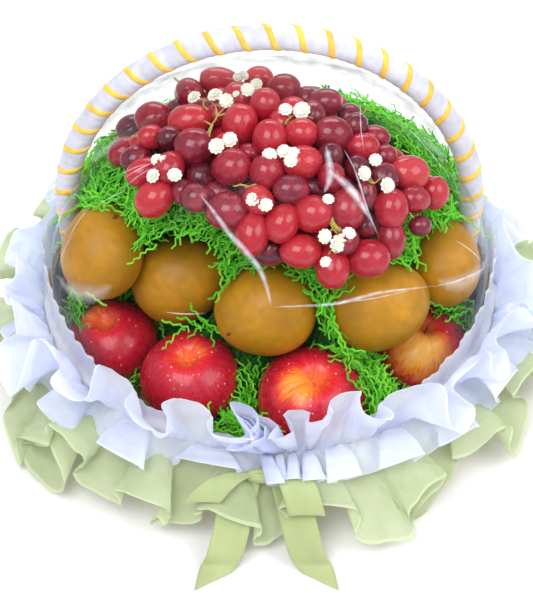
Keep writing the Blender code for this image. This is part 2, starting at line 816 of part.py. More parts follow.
def side_lift(theta):
    """Share of the hem's rise: the cloth stands out at the sides and droops elsewhere."""
    depth = math.sin(theta)
    return ease((depth + 0.55) / 0.8) * (1 - 0.8 * ease((depth - 0.6) / 0.4))


def make_green_ruffle(parts, finish):
    """The green ruffle: from the rim down to the table in deep flutes."""
    columns = GREEN_WAVES * STEPS_PER_WAVE
    rows = [[] for _ in range(3)]
    for column in range(columns):
        theta = math.tau * column / columns
        from_front = abs(math.remainder(theta - FRONT, math.tau))
        flute = min(1.0, max(0.0, (from_front - BOW_HALF_ANGLE) / BOW_EASE_ANGLE))
        swing = wave(theta, GREEN_WAVES, 0) * flute
        rise = GREEN_HEM_RISE * side_lift(theta)
        shoulder = GREEN_SHOULDER + GREEN_SHOULDER_SHARE * rise
        hem = GREEN_HEM + rise
        side = 1 - max(0.0, -math.sin(theta)) ** 2
        wide = GREEN_HEM_RADIUS - GREEN_HEM_NARROWING * side + GREEN_HEM_SWING * wave(theta, 5, 2)
        stations = (
            (GATHER_RADIUS, GREEN_GATHER),
            (GREEN_SHOULDER_RADIUS, shoulder + GREEN_SWING / 2 * swing),
            (wide, hem + GREEN_SWING * swing),
        )
        for row, (radius, height) in zip(rows, stations):
            row.append((radius * math.cos(theta), radius * math.sin(theta), height))
    ruffle = add_object("green_ruffle", grid_surface("green_ruffle", rows, True), parts, finish)
    add_solidify(ruffle, CLOTH_THICKNESS, 0)


def ribbon_mesh(name, path, point_side=0):
    """A ribbon along a path, its width along X; its last end may be cut to a point."""
    half = Vector((RIBBON_WIDTH / 2, 0, 0))
    rows = [[Vector(point) - half, Vector(point) + half] for point in path]
    if point_side:
        corner = 0 if point_side < 0 else 1
        rows[-1][corner].y -= TAIL_POINT
    return grid_surface(name, rows, False)


def on_slope(across, down, lift):
    """Point in front of the green ruffle: across, down its slope and off its surface."""
    slope = Vector((0, GATHER_RADIUS - GREEN_HEM_RADIUS, GREEN_HEM - GREEN_GATHER))
    slope.normalize()
    normal = Vector((0, slope.z, -slope.y))
    return Vector((across, KNOT.y, KNOT.z)) + slope * down + normal * lift


def make_bow(parts, finish):
    """The ribbon bow: a knot, two hanging loops and two tails down to the table."""
    form = bmesh.new()
    bmesh.ops.create_uvsphere(form, u_segments=10, v_segments=6, radius=1)
    bow = add_object("bow", mesh_from("bow", form), parts, finish)
    bow.data.transform(Matrix.Diagonal((*KNOT_SIZES, 1)))
    bow.data.transform(Matrix.Translation(on_slope(KNOT.x, KNOT_DOWN, KNOT_LIFT)))
    pieces = scratch_collection("Ribbon")
    for name, (start, tip, share) in LOOPS.items():
        path = []
        for down, lift in LOOP_PATH:
            across = start + (tip - start) * math.sqrt(down / LOOP_PATH[4][0])
            path.append(on_slope(across * MM, share * down * MM, lift * MM))
        add_object(name, ribbon_mesh(name, path), pieces)
    for name, (start, end) in TAILS.items():
        path = [on_slope(0, down * MM, lift * MM) for down, lift in TAIL_ON_CLOTH]
        path += [Vector((0, y * MM, z * MM)) for y, z in TAIL_TO_TABLE]
        for index, point in enumerate(path):
            point.x = (start + (end - start) * index / (len(path) - 1)) * MM
        add_object(name, ribbon_mesh(name, path, end), pieces)
    for member in pieces.objects:
        add_solidify(member, RIBBON_THICKNESS, 0)
    boolean(bow, "UNION", pieces)
    keep_largest_piece(bow)


def main():
    """Build every piece of the basket."""
    for old in list(bpy.data.objects):
        bpy.data.objects.remove(old)
    parts = bpy.data.collections.new("Fruit gift basket")
    bpy.context.scene.collection.children.link(parts)
    wood = material("Basket", (0.55, 0.4, 0.24), 0.7)
    white_ribbon = material("White ribbon", (0.82, 0.81, 0.86), 0.6)
    gold_ribbon = material("Gold ribbon", (0.93, 0.66, 0.12), 0.45)
    film = material("Film", (0.8, 0.88, 0.95), 0.1)
    apple_skin = material("Apple skin", (0.55, 0.02, 0.03), 0.3)
    kiwi_skin = material("Kiwi skin", (0.36, 0.2, 0.05), 0.6)
    grape_skin = material("Grape skin", (0.35, 0.02, 0.05), 0.35)
    paper = material("Green paper", (0.1, 0.6, 0.05), 0.6)
    white_cloth = material("White cloth", (0.83, 0.83, 0.92), 0.8)
    green_cloth = material("Green cloth", (0.66, 0.74, 0.54), 0.8)
    satin = material("Green satin", (0.58, 0.65, 0.36), 0.4)
    make_tub(parts, wood)
    make_handle(parts, white_ribbon)
    make_winding(parts, gold_ribbon)
    make_film(parts, film)
    for name, (centre, radius, lean) in APPLES.items():
        make_apple(name, parts, centre, radius * MM, lean, apple_skin)
    for name, (centre, sizes, turns) in KIWIS.items():
        make_kiwi(name, parts, centre, [size * MM for size in sizes], turns, kiwi_skin)
    make_shred(parts, paper)
    make_bunch(parts, grape_skin)
    make_white_ruffle(parts, white_cloth)
    make_green_ruffle(parts, green_cloth)
    make_bow(parts, satin)


main()
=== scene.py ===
"""Looks of the fruit gift basket: wrapped handle, apples, kiwis, grapes with small flowers,
crinkled paper, clear film, two gathered ruffles and a satin bow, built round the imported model."""

import math
import random

import bmesh
import bpy
import numpy as np
from mathutils import Euler, Matrix, Vector, noise


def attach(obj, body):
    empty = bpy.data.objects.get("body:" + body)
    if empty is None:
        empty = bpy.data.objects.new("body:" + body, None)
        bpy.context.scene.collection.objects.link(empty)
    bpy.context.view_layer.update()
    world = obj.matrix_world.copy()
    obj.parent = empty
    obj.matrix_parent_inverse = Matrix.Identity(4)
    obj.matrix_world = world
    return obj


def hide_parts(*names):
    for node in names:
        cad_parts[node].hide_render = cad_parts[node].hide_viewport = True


bl_info = {
    "name": "Fruit Gift Basket",
    "version": (1, 0, 0),
    "blender": (4, 5, 0),
    "location": "View3D > Sidebar > Fruit Basket",
    "description": "Builds a fruit gift basket under a film dome round its packed frame",
    "category": "Object",
}

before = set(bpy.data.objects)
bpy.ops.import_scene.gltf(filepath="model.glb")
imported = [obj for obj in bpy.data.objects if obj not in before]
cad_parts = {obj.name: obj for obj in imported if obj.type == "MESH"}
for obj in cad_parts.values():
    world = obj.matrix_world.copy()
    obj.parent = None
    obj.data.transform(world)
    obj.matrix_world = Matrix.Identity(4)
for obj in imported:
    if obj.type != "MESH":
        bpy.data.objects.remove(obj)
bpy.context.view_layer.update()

MM = 0.001
FRONT = -math.pi / 2

# Reference view: the camera that the photograph was taken with
VIEW_ELEVATION = math.radians(44)
VIEW_DISTANCE = 1000 * MM
VIEW_TARGET = Vector((-2.1, 0, 36.9)) * MM
LENS = 79.8
SENSOR = 36.0
PHOTO_WIDTH = 533
PHOTO_HEIGHT = 600
FOCAL_PIXELS = LENS / SENSOR * PHOTO_HEIGHT
VIEW_UP = Vector((0, math.sin(VIEW_ELEVATION), math.cos(VIEW_ELEVATION)))
VIEW_INTO = Vector((0, math.cos(VIEW_ELEVATION), -math.sin(VIEW_ELEVATION)))
EYE = VIEW_TARGET - VIEW_INTO * VIEW_DISTANCE

# Search along a line of sight: its start, end and step
SIGHT_START = 640 * MM
SIGHT_END = 1080 * MM
SIGHT_STEP = 4 * MM
SIGHT_HALVINGS = 8

# Handle and its winding
HANDLE_RADIUS = 141.7 * MM
HANDLE_TUBE = 8.3 * MM
HANDLE_SPRING = 126 * MM
LEG_FOOT = 9 * MM
WRAP_PITCH = 18.5 / 3 * MM
WRAP_STEP = 0.4 * MM
WINDING_PITCH = 18.5 * MM
WINDING_WIDTH = 4.4 * MM
WINDING_START = 84 * MM
WINDING_HIDDEN = 40 * MM
WINDING_STEPS = 24
WINDING_SECTION = ((-1, -0.4), (-0.9, 0.28), (0, 0.4), (0.9, 0.28), (1, -0.4))
WRAP_RING_STEP = 0.95 * MM
WRAP_SIDES = 26
WRAP_SUNK = 0.3 * MM

# Tub
TUB_RADIUS = 163 * MM
TUB_BASE_RADIUS = 152 * MM
TUB_WALL = 3 * MM
TUB_FLOOR = 3.5 * MM

# Film dome
FILM_RADIUS = 158 * MM
FILM_BOTTOM = 47 * MM
FILM_SPRING = 95 * MM
FILM_TOP = 225 * MM
DOME_FLATTENING = 0.22
LEG_PINCH = 0.045
LEG_PINCH_WIDTH = math.radians(8)
NOTCH_HALF_ANGLE = math.radians(4.8)
NOTCH_TOP = 172 * MM
DOME_POLE = Vector((0, 0, FILM_SPRING))
DOME_REACH = 250 * MM
DOME_HALVINGS = 26
SPRING_SHARE = 0.15

# Apples: centre and radius in millimetres, lean in degrees
APPLES = {
    "apple_1": ((-113.5, -45, 37), 32.5, (6, -8)),
    "apple_2": ((-55.5, -87, 45), 34.5, (10, -4)),
    "apple_3": ((29.5, -105, 42), 38.5, (12, 3)),
    "apple_4": ((108, -50, 36), 35.5, (8, 8)),
}
APPLE_HEIGHT_SHARE = 0.87
APPLE_STEPS = 44
CAVITY_REACH = 0.46
CAVITY_DEPTH = 0.34
CALYX_DEPTH = 0.2
STEM_FOOT = 0.36

# Stem lengths in millimetres, and each blush: pixel, cosine of its reach, strength
APPLE_STEMS = {"apple_1": 2.5, "apple_2": 2.5, "apple_3": 2, "apple_4": 10}
APPLE_SEEDS = {"apple_1": 2.0, "apple_2": 5.3, "apple_3": 8.1, "apple_4": 4.4}
APPLE_BLUSH = {
    "apple_1": (92, 312, 0.8, 0.8), "apple_2": (193, 350, 0.86, 0.7),
    "apple_3": (299, 384, 0.82, 1.0), "apple_4": (422, 352, 0.55, 1.3),
}

# Kiwis: centre, half length and half width in millimetres, yaw and tilt
KIWIS = {
    "kiwi_1": ((-115, -38, 121), (34.0, 28), (80, 50)),
    "kiwi_2": ((-62.5, -31, 88), (36.0, 31.5), (0, 24)),
    "kiwi_3": ((-3, -71, 97), (35.5, 32.5), (-170, -12)),
    "kiwi_4": ((74, -71, 102), (35.5, 31.5), (-5, 22)),
    "kiwi_5": ((122, -34, 105.5), (31.0, 24.5), (85, 45)),
}
SCARS_SEEN = {"kiwi_1": (116, 218), "kiwi_3": (230, 335)}
KIWI_TAPER = 0.1

# Gloss of every finish but the film
SPECULAR_LEVEL = 0.3

# Bunch of grapes: direction of its middle, and its reach in degrees round it
BUNCH_ELEVATION = math.radians(75)
BUNCH_AZIMUTH = math.radians(-80)
BUNCH_REACH = (59, 57, 50, 43, 47, 60, 46, 26, 31, 35, 47, 50)

# Grapes that the photograph shows: place, half length and half width there, tilt and
# how far below the outermost grapes, in the photograph's pixels, degrees and millimetres
GRAPES_SEEN = (
    (221, 84, 18.8, 12.8, -8, 0), (190, 94, 12.5, 12, 0, 4), (259, 79, 13.5, 12, 0, 3),
    (287, 91, 15, 13.4, 0, 1), (304, 98, 11, 11, 90, 6), (153, 120, 17.2, 15.6, 5, 1),
    (189, 117, 19.5, 15.2, 8, 0), (167, 140, 16.5, 14.2, 0, 5), (192, 150, 19.3, 17.2, 10, 0),
    (127, 151, 17, 13.8, 30, 3), (139, 156, 15, 12.8, 20, 4), (146, 172, 18, 13.8, 20, 2),
    (158, 197, 18.4, 16.5, 40, 1), (203, 175, 15, 15, 0, 7), (231, 165, 18.4, 17.5, 20, 0),
    (240, 127, 20.5, 17, 80, 2), (266, 106, 15, 14.4, 90, 2), (273, 136, 16.4, 15.8, 90, 2),
    (301, 133, 14.4, 14.4, 0, 2), (324, 103, 15.6, 12.4, 0, 1), (332, 128, 18.4, 16.5, 0, 0),
    (347, 119, 13, 12, 70, 5), (267, 175, 16.8, 16, 90, 1), (304, 162, 19.5, 16, 5, 1),
    (363, 148, 15, 13.3, 0, 3), (374, 138, 14.2, 12, 0, 5), (386, 158, 11.5, 11, 0, 5),
    (409, 173, 20, 16.5, 0, 0), (432, 193, 15.4, 14, 90, 1), (414, 198, 14.5, 12.6, 0, 5),
    (392, 209, 18.4, 15.6, 90, 0), (367, 197, 16, 11, 90, 5), (350, 207, 19.5, 18, 80, 1),
    (314, 212, 18, 17.4, 0, 0), (287, 221, 18.8, 16, 60, 0), (253, 227, 21, 16, 85, 0),
    (226, 208, 19.5, 17.9, 0, 2), (270, 246, 15.6, 15, 0, 4), (302, 248, 18.4, 16, 0, 2),
    (335, 265, 20.5, 16, 90, 0), (367, 254, 18.8, 18.2, 0, 0), (388, 238, 17.9, 14, 90, 4),
    (420, 226, 10.2, 9.8, 0, 4), (199, 197, 14.5, 14, 0, 6), (181, 192, 12, 11, 90, 8),
    (291, 190, 16.5, 14, 0, 5), (313, 184, 13, 12, 0, 8), (332, 176, 13.5, 12.5, 90, 6),
    (249, 154, 12.5, 11, 0, 9), (343, 190, 13, 12, 90, 8), (364, 226, 13.5, 13, 0, 8),
    (216, 191, 13.5, 12, 0, 9), (240, 93, 12, 11, 0, 8), (275, 203, 14, 12, 0, 9),
)
GRAPE_GAP = 2 * MM
GRAPE_GROWTH = 1.12
GRAPE_KINDS = 4
SETTLING_ROUNDS = 40
UNDER_FILM = 1.2 * MM

# Grapes that are hidden by others, and the bunch's upper outline, in pixels
HIDDEN_GRAPES = 62
HIDDEN_MARGIN = 15
BUNCH_TOP = ((111, 152), (130, 120), (150, 105), (200, 80), (221, 72), (260, 68), (290, 78),
             (324, 90), (345, 105), (372, 130), (400, 155), (430, 175), (446, 195))
HIDDEN_RADIUS = (9.8 * MM, 11.8 * MM)

# Paper strips: how much of the fruit they may hide, and how they are shared out
STRIP_CLEAR = 0.93
STRIP_STRAY = 0.84
STRAY_SHARE = 0.3
FRUIT_REACH = 70 * MM
STRIP_REACH = 9 * MM
STRIP_KINDS = 18
MOUND_SHARE = 0.4
LOW_SHARE = 0.12
TRIES_PER_STRIP = 30
FRUIT_CLEAR = 0.3 * MM
HANDLE_CLEAR = 11 * MM
RIM_HEIGHT = 64 * MM
RIM_CLEAR = 6 * MM
CORE_DEPTH = 11 * MM

# Small white flowers and their stems, in the photograph's pixels
FLOWERS_SEEN = (
    (194, 97, 1), (215, 95, 1.1), (226, 100.5, 1), (247.6, 89.5, 1), (256, 84, 0.9),
    (243.5, 75, 0.8), (237.5, 76.5, 0.7), (235.5, 93.6, 0.55), (216.4, 146, 1.1),
    (229.7, 139.5, 1.05), (157, 159.7, 0.85), (164, 160, 0.8), (152.8, 175.8, 1),
    (174.6, 174.7, 1), (285.5, 109.2, 0.95), (301.6, 110.2, 1.2), (269.4, 155, 1),
    (283.7, 151, 0.95), (293, 154.5, 1), (290.6, 160.6, 0.9), (252.7, 198.8, 1),
    (265.3, 204.3, 1), (328.4, 198.8, 0.8), (325, 236.4, 1), (338.8, 243.3, 1.3),
    (349, 234.4, 1), (326, 262.4, 0.8), (375.5, 159.7, 0.9), (364.7, 173.3, 1),
    (387.7, 185.5, 1.1),
)
STEMS_SEEN = (
    ((209, 137), (212, 125), (217, 116), (214, 104), (206, 99)),
    ((217, 116), (224, 108), (226, 101)), ((217, 116), (228, 112), (236, 95)),
    ((212, 125), (204, 121)), ((206, 99), (203, 104), (208, 110)),
    ((205, 138), (212, 125)), ((236, 95), (247, 90)), ((236, 95), (240, 84), (243, 76)),
    ((285, 124), (290, 118), (297, 115), (313, 118)), ((290, 118), (286, 110)),
    ((297, 115), (302, 111)), ((233, 186), (243, 185), (252, 188), (262, 197), (265, 204)),
    ((252, 188), (252, 198)), ((245, 188), (256, 184)), ((367, 180), (374, 183), (381, 178)),
    ((374, 183), (366, 174)), ((381, 178), (388, 185)), ((377, 166), (379, 172), (381, 178)),
    ((330, 222), (333, 229), (340, 237)), ((333, 229), (326, 236)), ((409, 213), (414, 218)),
    ((163, 160), (168, 166), (174, 174)), ((157, 160), (160, 168), (153, 176)),
    ((272, 152), (278, 150), (284, 151)), ((326, 262), (331, 250), (338, 243)),
)
THICK_STEM = ((329, 216), (333, 224), (340, 231), (345, 234))
FLOWER_SIZE = 4.9 * MM
FLOWER_INSET = 3 * MM
FLOWER_SINK = 1 * MM
STEM_INSET = 7 * MM
STEM_RADIUS = 0.55 * MM
THICK_STEM_INSET = 8 * MM
THICK_STEM_RADIUS = 1.7 * MM

# Creases and painted glints of the film, in the photograph's pixels, with their widest half width
# in mm
CREASES_AND_GLINTS_SEEN = (
    (((201, 196), (213, 211), (229, 233), (247, 253), (261, 272), (268, 292), (271, 306)), 2.2),
    (((272, 307), (300, 306), (333, 304), (355, 299), (378, 293), (408, 289), (436, 286)), 1.4),
    (((436, 286), (457, 281), (476, 273), (487, 266)), 1.0),
    (((340, 303), (375, 298), (412, 290)), 0.5),
    # The next two strips, the widest, form a painted Y-shaped reflection of a lamp
    (((326, 146), (329, 162), (330, 178), (324, 193)), 3.0),
    (((329, 172), (341, 180), (352, 191), (362, 205), (372, 222)), 3.4),
    (((343, 148), (353, 166), (360, 185), (367, 208), (379, 238)), 0.9),
    (((271, 71), (302, 75), (330, 85), (360, 100)), 0.5),
    (((150, 92), (185, 76), (222, 66), (262, 62)), 0.5),
    (((120, 113), (150, 92)), 0.4), (((163, 159), (143, 167), (121, 180)), 0.5),
    (((160, 165), (140, 175), (122, 190)), 0.4), (((150, 163), (134, 168), (118, 176)), 0.4),
    (((126, 190), (112, 197), (100, 203)), 0.5), (((360, 100), (361, 130), (364, 150)), 0.5),
    (((395, 92), (425, 115), (452, 150), (470, 190)), 0.6),
    (((335, 62), (362, 70), (390, 83), (422, 113), (444, 147)), 1.0),
    (((330, 77), (346, 83), (361, 97)), 1.5),
    (((387, 112), (412, 132), (438, 162), (455, 186)), 0.8),
    (((372, 92), (402, 112), (428, 140), (448, 170)), 0.5),
    (((75, 232), (64, 250), (59, 268)), 0.6), (((92, 205), (78, 222), (66, 243)), 0.5),
    (((455, 240), (470, 250), (482, 262)), 0.6), (((165, 312), (185, 314), (206, 313)), 0.6),
)
CREASE_AND_GLINT_COVER = 0.75

# Pale bands of doubled film and painted sheen at the sides, in the same measures
HAZE_AND_SHEEN_SEEN = (
    (((57, 276), (68, 288), (84, 294), (100, 292), (112, 286)), 7),
    (((438, 280), (452, 284), (468, 280), (482, 268), (488, 255)), 7),
)
HAZE_AND_SHEEN_COVER = 0.4

# Ruffles: lean and length by angle from the front
UPPER_FRILL = ((0, 84, 54), (28, 78, 49), (50, 62, 38), (72, 50, 40), (92, 70, 34),
               (115, 78, 30), (180, 78, 29))
LOWER_FRILL = ((0, 12, 23), (30, 12, 26), (60, 8, 31), (75, 8, 30), (95, 20, 16), (180, 20, 14))
GATHER_RADIUS = 165.3 * MM
WHITE_GATHER = 59 * MM
GREEN_GATHER = 49 * MM
PLEAT_MIDDLE = math.radians(-86)
PLEAT_SPAN = math.radians(7)
PLEAT_DEPTH = 1.7 * MM
CRUMPLE = 7 * MM
CREASING = 4.5 * MM
GREEN_LIFT = math.radians(14)
SLANT = 14 * MM
BOW_MIDDLE = math.radians(-93)
BOW_SPAN = math.radians(12)
BOW_GAP = math.radians(-102)
BOW_GAP_SPAN = math.radians(8)
HEM_CLEAR = 1.0 * MM

# Lining: radius and height in millimetres up to its free edge, which rises behind
LINING_PATH = ((165.6, 57), (165.2, 62.6), (162, 64.2), (160.2, 66))
LINING_RADIUS = 160
LINING_TOP = 66
LINING_RISE = 36

# Bow
RIBBON_WIDTH = 24 * MM
GREEN_HEM = 12 * MM
GREEN_HEM_RADIUS = 207 * MM
KNOT = Vector((-3 * MM, -170 * MM, 45 * MM))
LOOP_PATH = ((0, 10.5), (8, 15), (22, 17), (33, 15.5), (38, 12), (34, 9), (20, 8.4), (2, 7))
LOOPS = {"loop_left": (-14, -44, 0.52), "loop_right": (11, 24, 0.74)}
TAIL_ON_CLOTH = ((0, 6.5), (15, 5.6), (35, 5), (52, 4.5))
TAIL_TO_TABLE = ((-215.5, 5), (-219, 1.4))
TAILS = {"tail_left": (-16, -37), "tail_right": (10, 33)}
TAIL_POINT = 14 * MM
RIBBON_THICKNESS = 0.25 * MM
KNOT_HALF_LENGTH = 13
KNOT_HALF_WIDTH = 5
KNOT_DOWN = 2 * MM
KNOT_LIFT = 9.5 * MM

# Lamps: name, place, target, size, power, colour
LAMPS = (
    ("Key", (-0.45, -0.8, 1.5), (0, 0, 0.1), (1.0, 0.9), 15, (1, 1, 1)),
    ("Fill", (0.9, -0.5, 1.1), (0, 0, 0.1), (0.9, 0.8), 8, (1, 0.98, 0.95)),
    ("Back", (0.1, 1.1, 1.2), (0, 0, 0.12), (1.2, 0.6), 9, (0.95, 0.97, 1)),
)
WORLD_COLOUR = (0.95, 0.97, 1, 1)
WORLD_STRENGTH = 0.88
FLOOR_COLOUR = (0.9, 0.9, 0.9, 1)


# Meshes


def ease(value):
    """A soft step from 0 to 1."""
    share = min(max(value, 0.0), 1.0)
    return share * share * (3 - 2 * share)


def face_outward(form):
    """Turn the faces of a form to one side, outward where it is closed."""
    bmesh.ops.recalc_face_normals(form, faces=form.faces)


def new_piece(name, form, material, replaced):
    """Turn a bmesh into a piece that rides with the basket."""
    mesh = bpy.data.meshes.new(name)
    form.to_mesh(mesh)
    form.free()
    return new_mesh_piece(name, mesh, material, replaced)


def new_mesh_piece(name, mesh, material, replaced, smooth=True):
    """Show a finished mesh as a piece that rides with the basket."""
    if smooth:
        mesh.shade_smooth()
    mesh.materials.append(material)
    piece = bpy.data.objects.new(name, mesh)
    bpy.context.scene.collection.objects.link(piece)
    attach(piece, "root")
    if replaced:
        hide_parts(*replaced)
    return piece


def cloth_grid(columns, rows, place, closed):
    """A grid laid through place(round share, across share), its seam welded if closed."""
    form = bmesh.new()
    form.loops.layers.uv.new("UVMap")
    bmesh.ops.create_grid(form, x_segments=columns, y_segments=rows, size=0.5, calc_uvs=True)
    for corner in form.verts:
        corner.co = place(corner.co.x + 0.5, corner.co.y + 0.5)
    if closed:
        bmesh.ops.remove_doubles(form, verts=form.verts, dist=0.01 * MM)
    return form


def sweep(form, rings, capped=True, closed_section=True):
    """Extrude a section through a list of rings of points."""
    first = [form.verts.new(point) for point in rings[0]]
    count = len(first)
    edges = [form.edges.new((first[i], first[i + 1])) for i in range(count - 1)]
    if closed_section:
        edges.append(form.edges.new((first[-1], first[0])))
    if capped and closed_section:
        form.faces.new(first[::-1])
    last = first
    for ring in rings[1:]:
        made = bmesh.ops.extrude_edge_only(form, edges=edges)["geom"]
        fresh = [item for item in made if isinstance(item, bmesh.types.BMVert)]
        edges = [item for item in made if isinstance(item, bmesh.types.BMEdge)]
        edges = [edge for edge in edges if edge.verts[0] in fresh and edge.verts[1] in fresh]
        for corner, point in zip(fresh, ring):
            corner.co = point
        last = fresh
    if capped and closed_section:
        form.faces.new(last)
    return last


def heading_at(path, index):
    """Direction of a path at one of its points."""
    before = path[max(index - 1, 0)]
    after = path[min(index + 1, len(path) - 1)]
    return (after - before).normalized()


def scatter(source, reach):
    """A random vector with each part within a reach."""
    return Vector([source.uniform(-reach, reach) for _ in range(3)])


def tube_rings(points, radii, sides):
    """Rings of points round a path, for a tube."""
    rings = []
    normal = None
    for index, point in enumerate(points):
        along = heading_at(points, index)
        if normal is None:
            normal = along.orthogonal().normalized()
        normal = (normal - along * normal.dot(along)).normalized()
        across = along.cross(normal)
        ring = []
        for side in range(sides):
            turn = math.tau * side / sides
            offset = normal * math.cos(turn) + across * math.sin(turn)
            ring.append(point + offset * radii[index])
        rings.append(ring)
    return rings


def smooth_path(points, steps):
    """Points along a soft curve through the given ones."""
    made = []
    last = len(points) - 1
    for index in range(last):
        before = points[max(index - 1, 0)]
        start = points[index]
        end = points[index + 1]
        after = points[min(index + 2, last)]
        for step in range(steps):
            share = step / steps
            made.append(
                start
                + (end - before) * (0.5 * share)
                + (before - start * 2.5 + end * 2 - after * 0.5) * share ** 2
                + (start * 1.5 - before * 0.5 - end * 1.5 + after * 0.5) * share ** 3
            )
    made.append(points[-1])
    return made


def form_arrays(form):
    """Corner places and triangles of a bmesh, which is freed."""
    bmesh.ops.triangulate(form, faces=form.faces)
    form.verts.index_update()
    places = np.array([corner.co for corner in form.verts])
    triangles = np.array([[corner.index for corner in face.verts] for face in form.faces])
    form.free()
    return places, triangles


def joined_mesh(name, shapes, placements, tones):
    """One mesh of many copies; each placement is (shape index, 4 x 4 matrix)."""
    places = []
    triangles = []
    shades = []
    count = 0
    for (index, matrix), tone in zip(placements, tones):
        corners, faces = shapes[index]
        turned = corners @ np.array(matrix.to_3x3()).T + np.array(matrix.translation)
        places.append(turned)
        triangles.append(faces + count)
        shades.append(np.full(len(corners), tone))
        count += len(corners)
    mesh = bpy.data.meshes.new(name)
    mesh.from_pydata(np.concatenate(places), [], np.concatenate(triangles))
    tone_layer = mesh.attributes.new("tone", "FLOAT", "POINT")
    tone_layer.data.foreach_set("value", np.concatenate(shades).astype(np.float32))
    mesh.update()
    return mesh


# Places on the dome


def dome_radius(theta, share):
    """Radius of the film at an angle and a share of the dome's height."""
    from_leg = abs(math.remainder(theta, math.pi))
    flattened = 1 - DOME_FLATTENING * math.sin(theta) ** 4 * math.sin(math.pi * share)
    pinched = 1 - LEG_PINCH * math.exp(-((from_leg / LEG_PINCH_WIDTH) ** 2))
    return FILM_RADIUS * math.sqrt(max(0.0, 1 - share * share)) * flattened * pinched


def radius_at(theta, height):
    """Radius of the film at an angle and a height above the table."""
    share = (height - FILM_SPRING) / (FILM_TOP - FILM_SPRING)
    return dome_radius(theta, min(max(share, 0.0), 1.0))


def inside_film(point):
    """Whether a point lies inside the film's dome."""
    if point.z >= FILM_TOP:
        return False
    return math.hypot(point.x, point.y) < radius_at(math.atan2(point.y, point.x), point.z)


def on_dome(direction, inset):
    """Point of the dome seen from its pole along a direction, moved inward by inset."""
    near, far = 0.0, DOME_REACH
    for _ in range(DOME_HALVINGS):
        middle = (near + far) / 2
        if inside_film(DOME_POLE + direction * middle):
            near = middle
        else:
            far = middle
    return DOME_POLE + direction * (near - inset)


def sight_ray(across, down):
    """Direction in which the reference view sees a pixel."""
    ray = VIEW_INTO * FOCAL_PIXELS
    ray += Vector((across - PHOTO_WIDTH / 2, 0, 0)) + VIEW_UP * (PHOTO_HEIGHT / 2 - down)
    return ray.normalized()


def seen_on_dome(across, down, inset):
    """Place on the dome, moved inward, that the reference view shows at a pixel."""
    ray = sight_ray(across, down)
    near = SIGHT_START
    while near < SIGHT_END:
        away = EYE + ray * near - DOME_POLE
        if away.length < (on_dome(away.normalized(), inset) - DOME_POLE).length:
            break
        near += SIGHT_STEP
    low, high = near - SIGHT_STEP, near
    for _ in range(SIGHT_HALVINGS):
        middle = (low + high) / 2
        away = EYE + ray * middle - DOME_POLE
        if away.length < (on_dome(away.normalized(), inset) - DOME_POLE).length:
            high = middle
        else:
            low = middle
    return EYE + ray * high


def bunch_direction(spread, turn):
    """Direction at an angle from the bunch's axis, turned round that axis."""
    level = math.cos(BUNCH_ELEVATION)
    axis = Vector((level * math.cos(BUNCH_AZIMUTH), level * math.sin(BUNCH_AZIMUTH), 0))
    axis.z = math.sin(BUNCH_ELEVATION)
    right = axis.cross(Vector((0, 0, 1))).normalized() * -1
    up = right.cross(axis) * -1
    side = right * math.cos(turn) + up * math.sin(turn)
    return axis * math.cos(spread) + side * math.sin(spread)


def bunch_reach(turn):
    """How far the bunch spreads from its axis, as an angle."""
    place = (turn / math.tau % 1) * len(BUNCH_REACH)
    index = int(place)
    share = (1 - math.cos((place - index) * math.pi)) / 2
    near = BUNCH_REACH[index % len(BUNCH_REACH)]
    far = BUNCH_REACH[(index + 1) % len(BUNCH_REACH)]
    return math.radians(near + (far - near) * share)


def from_bunch(point):
    """Angle from a point of the dome to the bunch's edge: negative inside the bunch."""
    away = (point - DOME_POLE).normalized()
    axis = bunch_direction(0, 0)
    right = bunch_direction(math.pi / 2, 0)
    up = bunch_direction(math.pi / 2, math.pi / 2)
    turn = math.atan2(away.dot(up), away.dot(right))
    return axis.angle(away) - bunch_reach(turn)


def fruit_forms():
    """Every apple and kiwi as (name, centre, turned axes, half sizes)."""
    forms = []
    for name, (centre, radius, lean) in APPLES.items():
        turn = Euler((math.radians(lean[0]), math.radians(lean[1]), 0)).to_matrix()
        sizes = Vector((radius, radius, radius * APPLE_HEIGHT_SHARE)) * MM
        forms.append((name, Vector(centre) * MM, turn, sizes))
    for name, (centre, (length, width), (yaw, tilt)) in KIWIS.items():
        turn = Euler((0, -math.radians(tilt), math.radians(yaw))).to_matrix()
        forms.append((name, Vector(centre) * MM, turn, Vector((length, width, width)) * MM))
    return forms


FRUIT = fruit_forms()


def in_sizes(point, sizes):
    """A point in a fruit's own axes, measured in its half sizes."""
    return Vector([point[axis] / sizes[axis] for axis in range(3)])


def fruit_matrix(name):
    """Place and turn of an apple or kiwi."""
    _, centre, turn, _ = next(form for form in FRUIT if form[0] == name)
    return Matrix.Translation(centre) @ turn.to_4x4()


def fruit_gap(point):
    """Distance from a point to the nearest apple or kiwi, negative inside it."""
    nearest = 1.0
    for _, centre, turn, sizes in FRUIT:
        scaled = in_sizes(turn.transposed() @ (point - centre), sizes).length
        nearest = min(nearest, (scaled - 1) * min(sizes))
    return nearest


def seen_on_fruit(name, across, down):
    """Place on an apple or kiwi, in its own axes, that the reference view shows at a pixel."""
    _, centre, turn, sizes = next(form for form in FRUIT if form[0] == name)
    start = in_sizes(turn.transposed() @ (EYE - centre), sizes)
    ahead = in_sizes(turn.transposed() @ sight_ray(across, down), sizes)
    nearest = -start.dot(ahead) / ahead.dot(ahead)
    aside = (start + ahead * nearest).length
    if aside < 1:
        nearest -= math.sqrt((1 - aside * aside) / ahead.dot(ahead))
    place = (start + ahead * nearest).normalized()
    return Vector([place[axis] * sizes[axis] for axis in range(3)])


# Materials


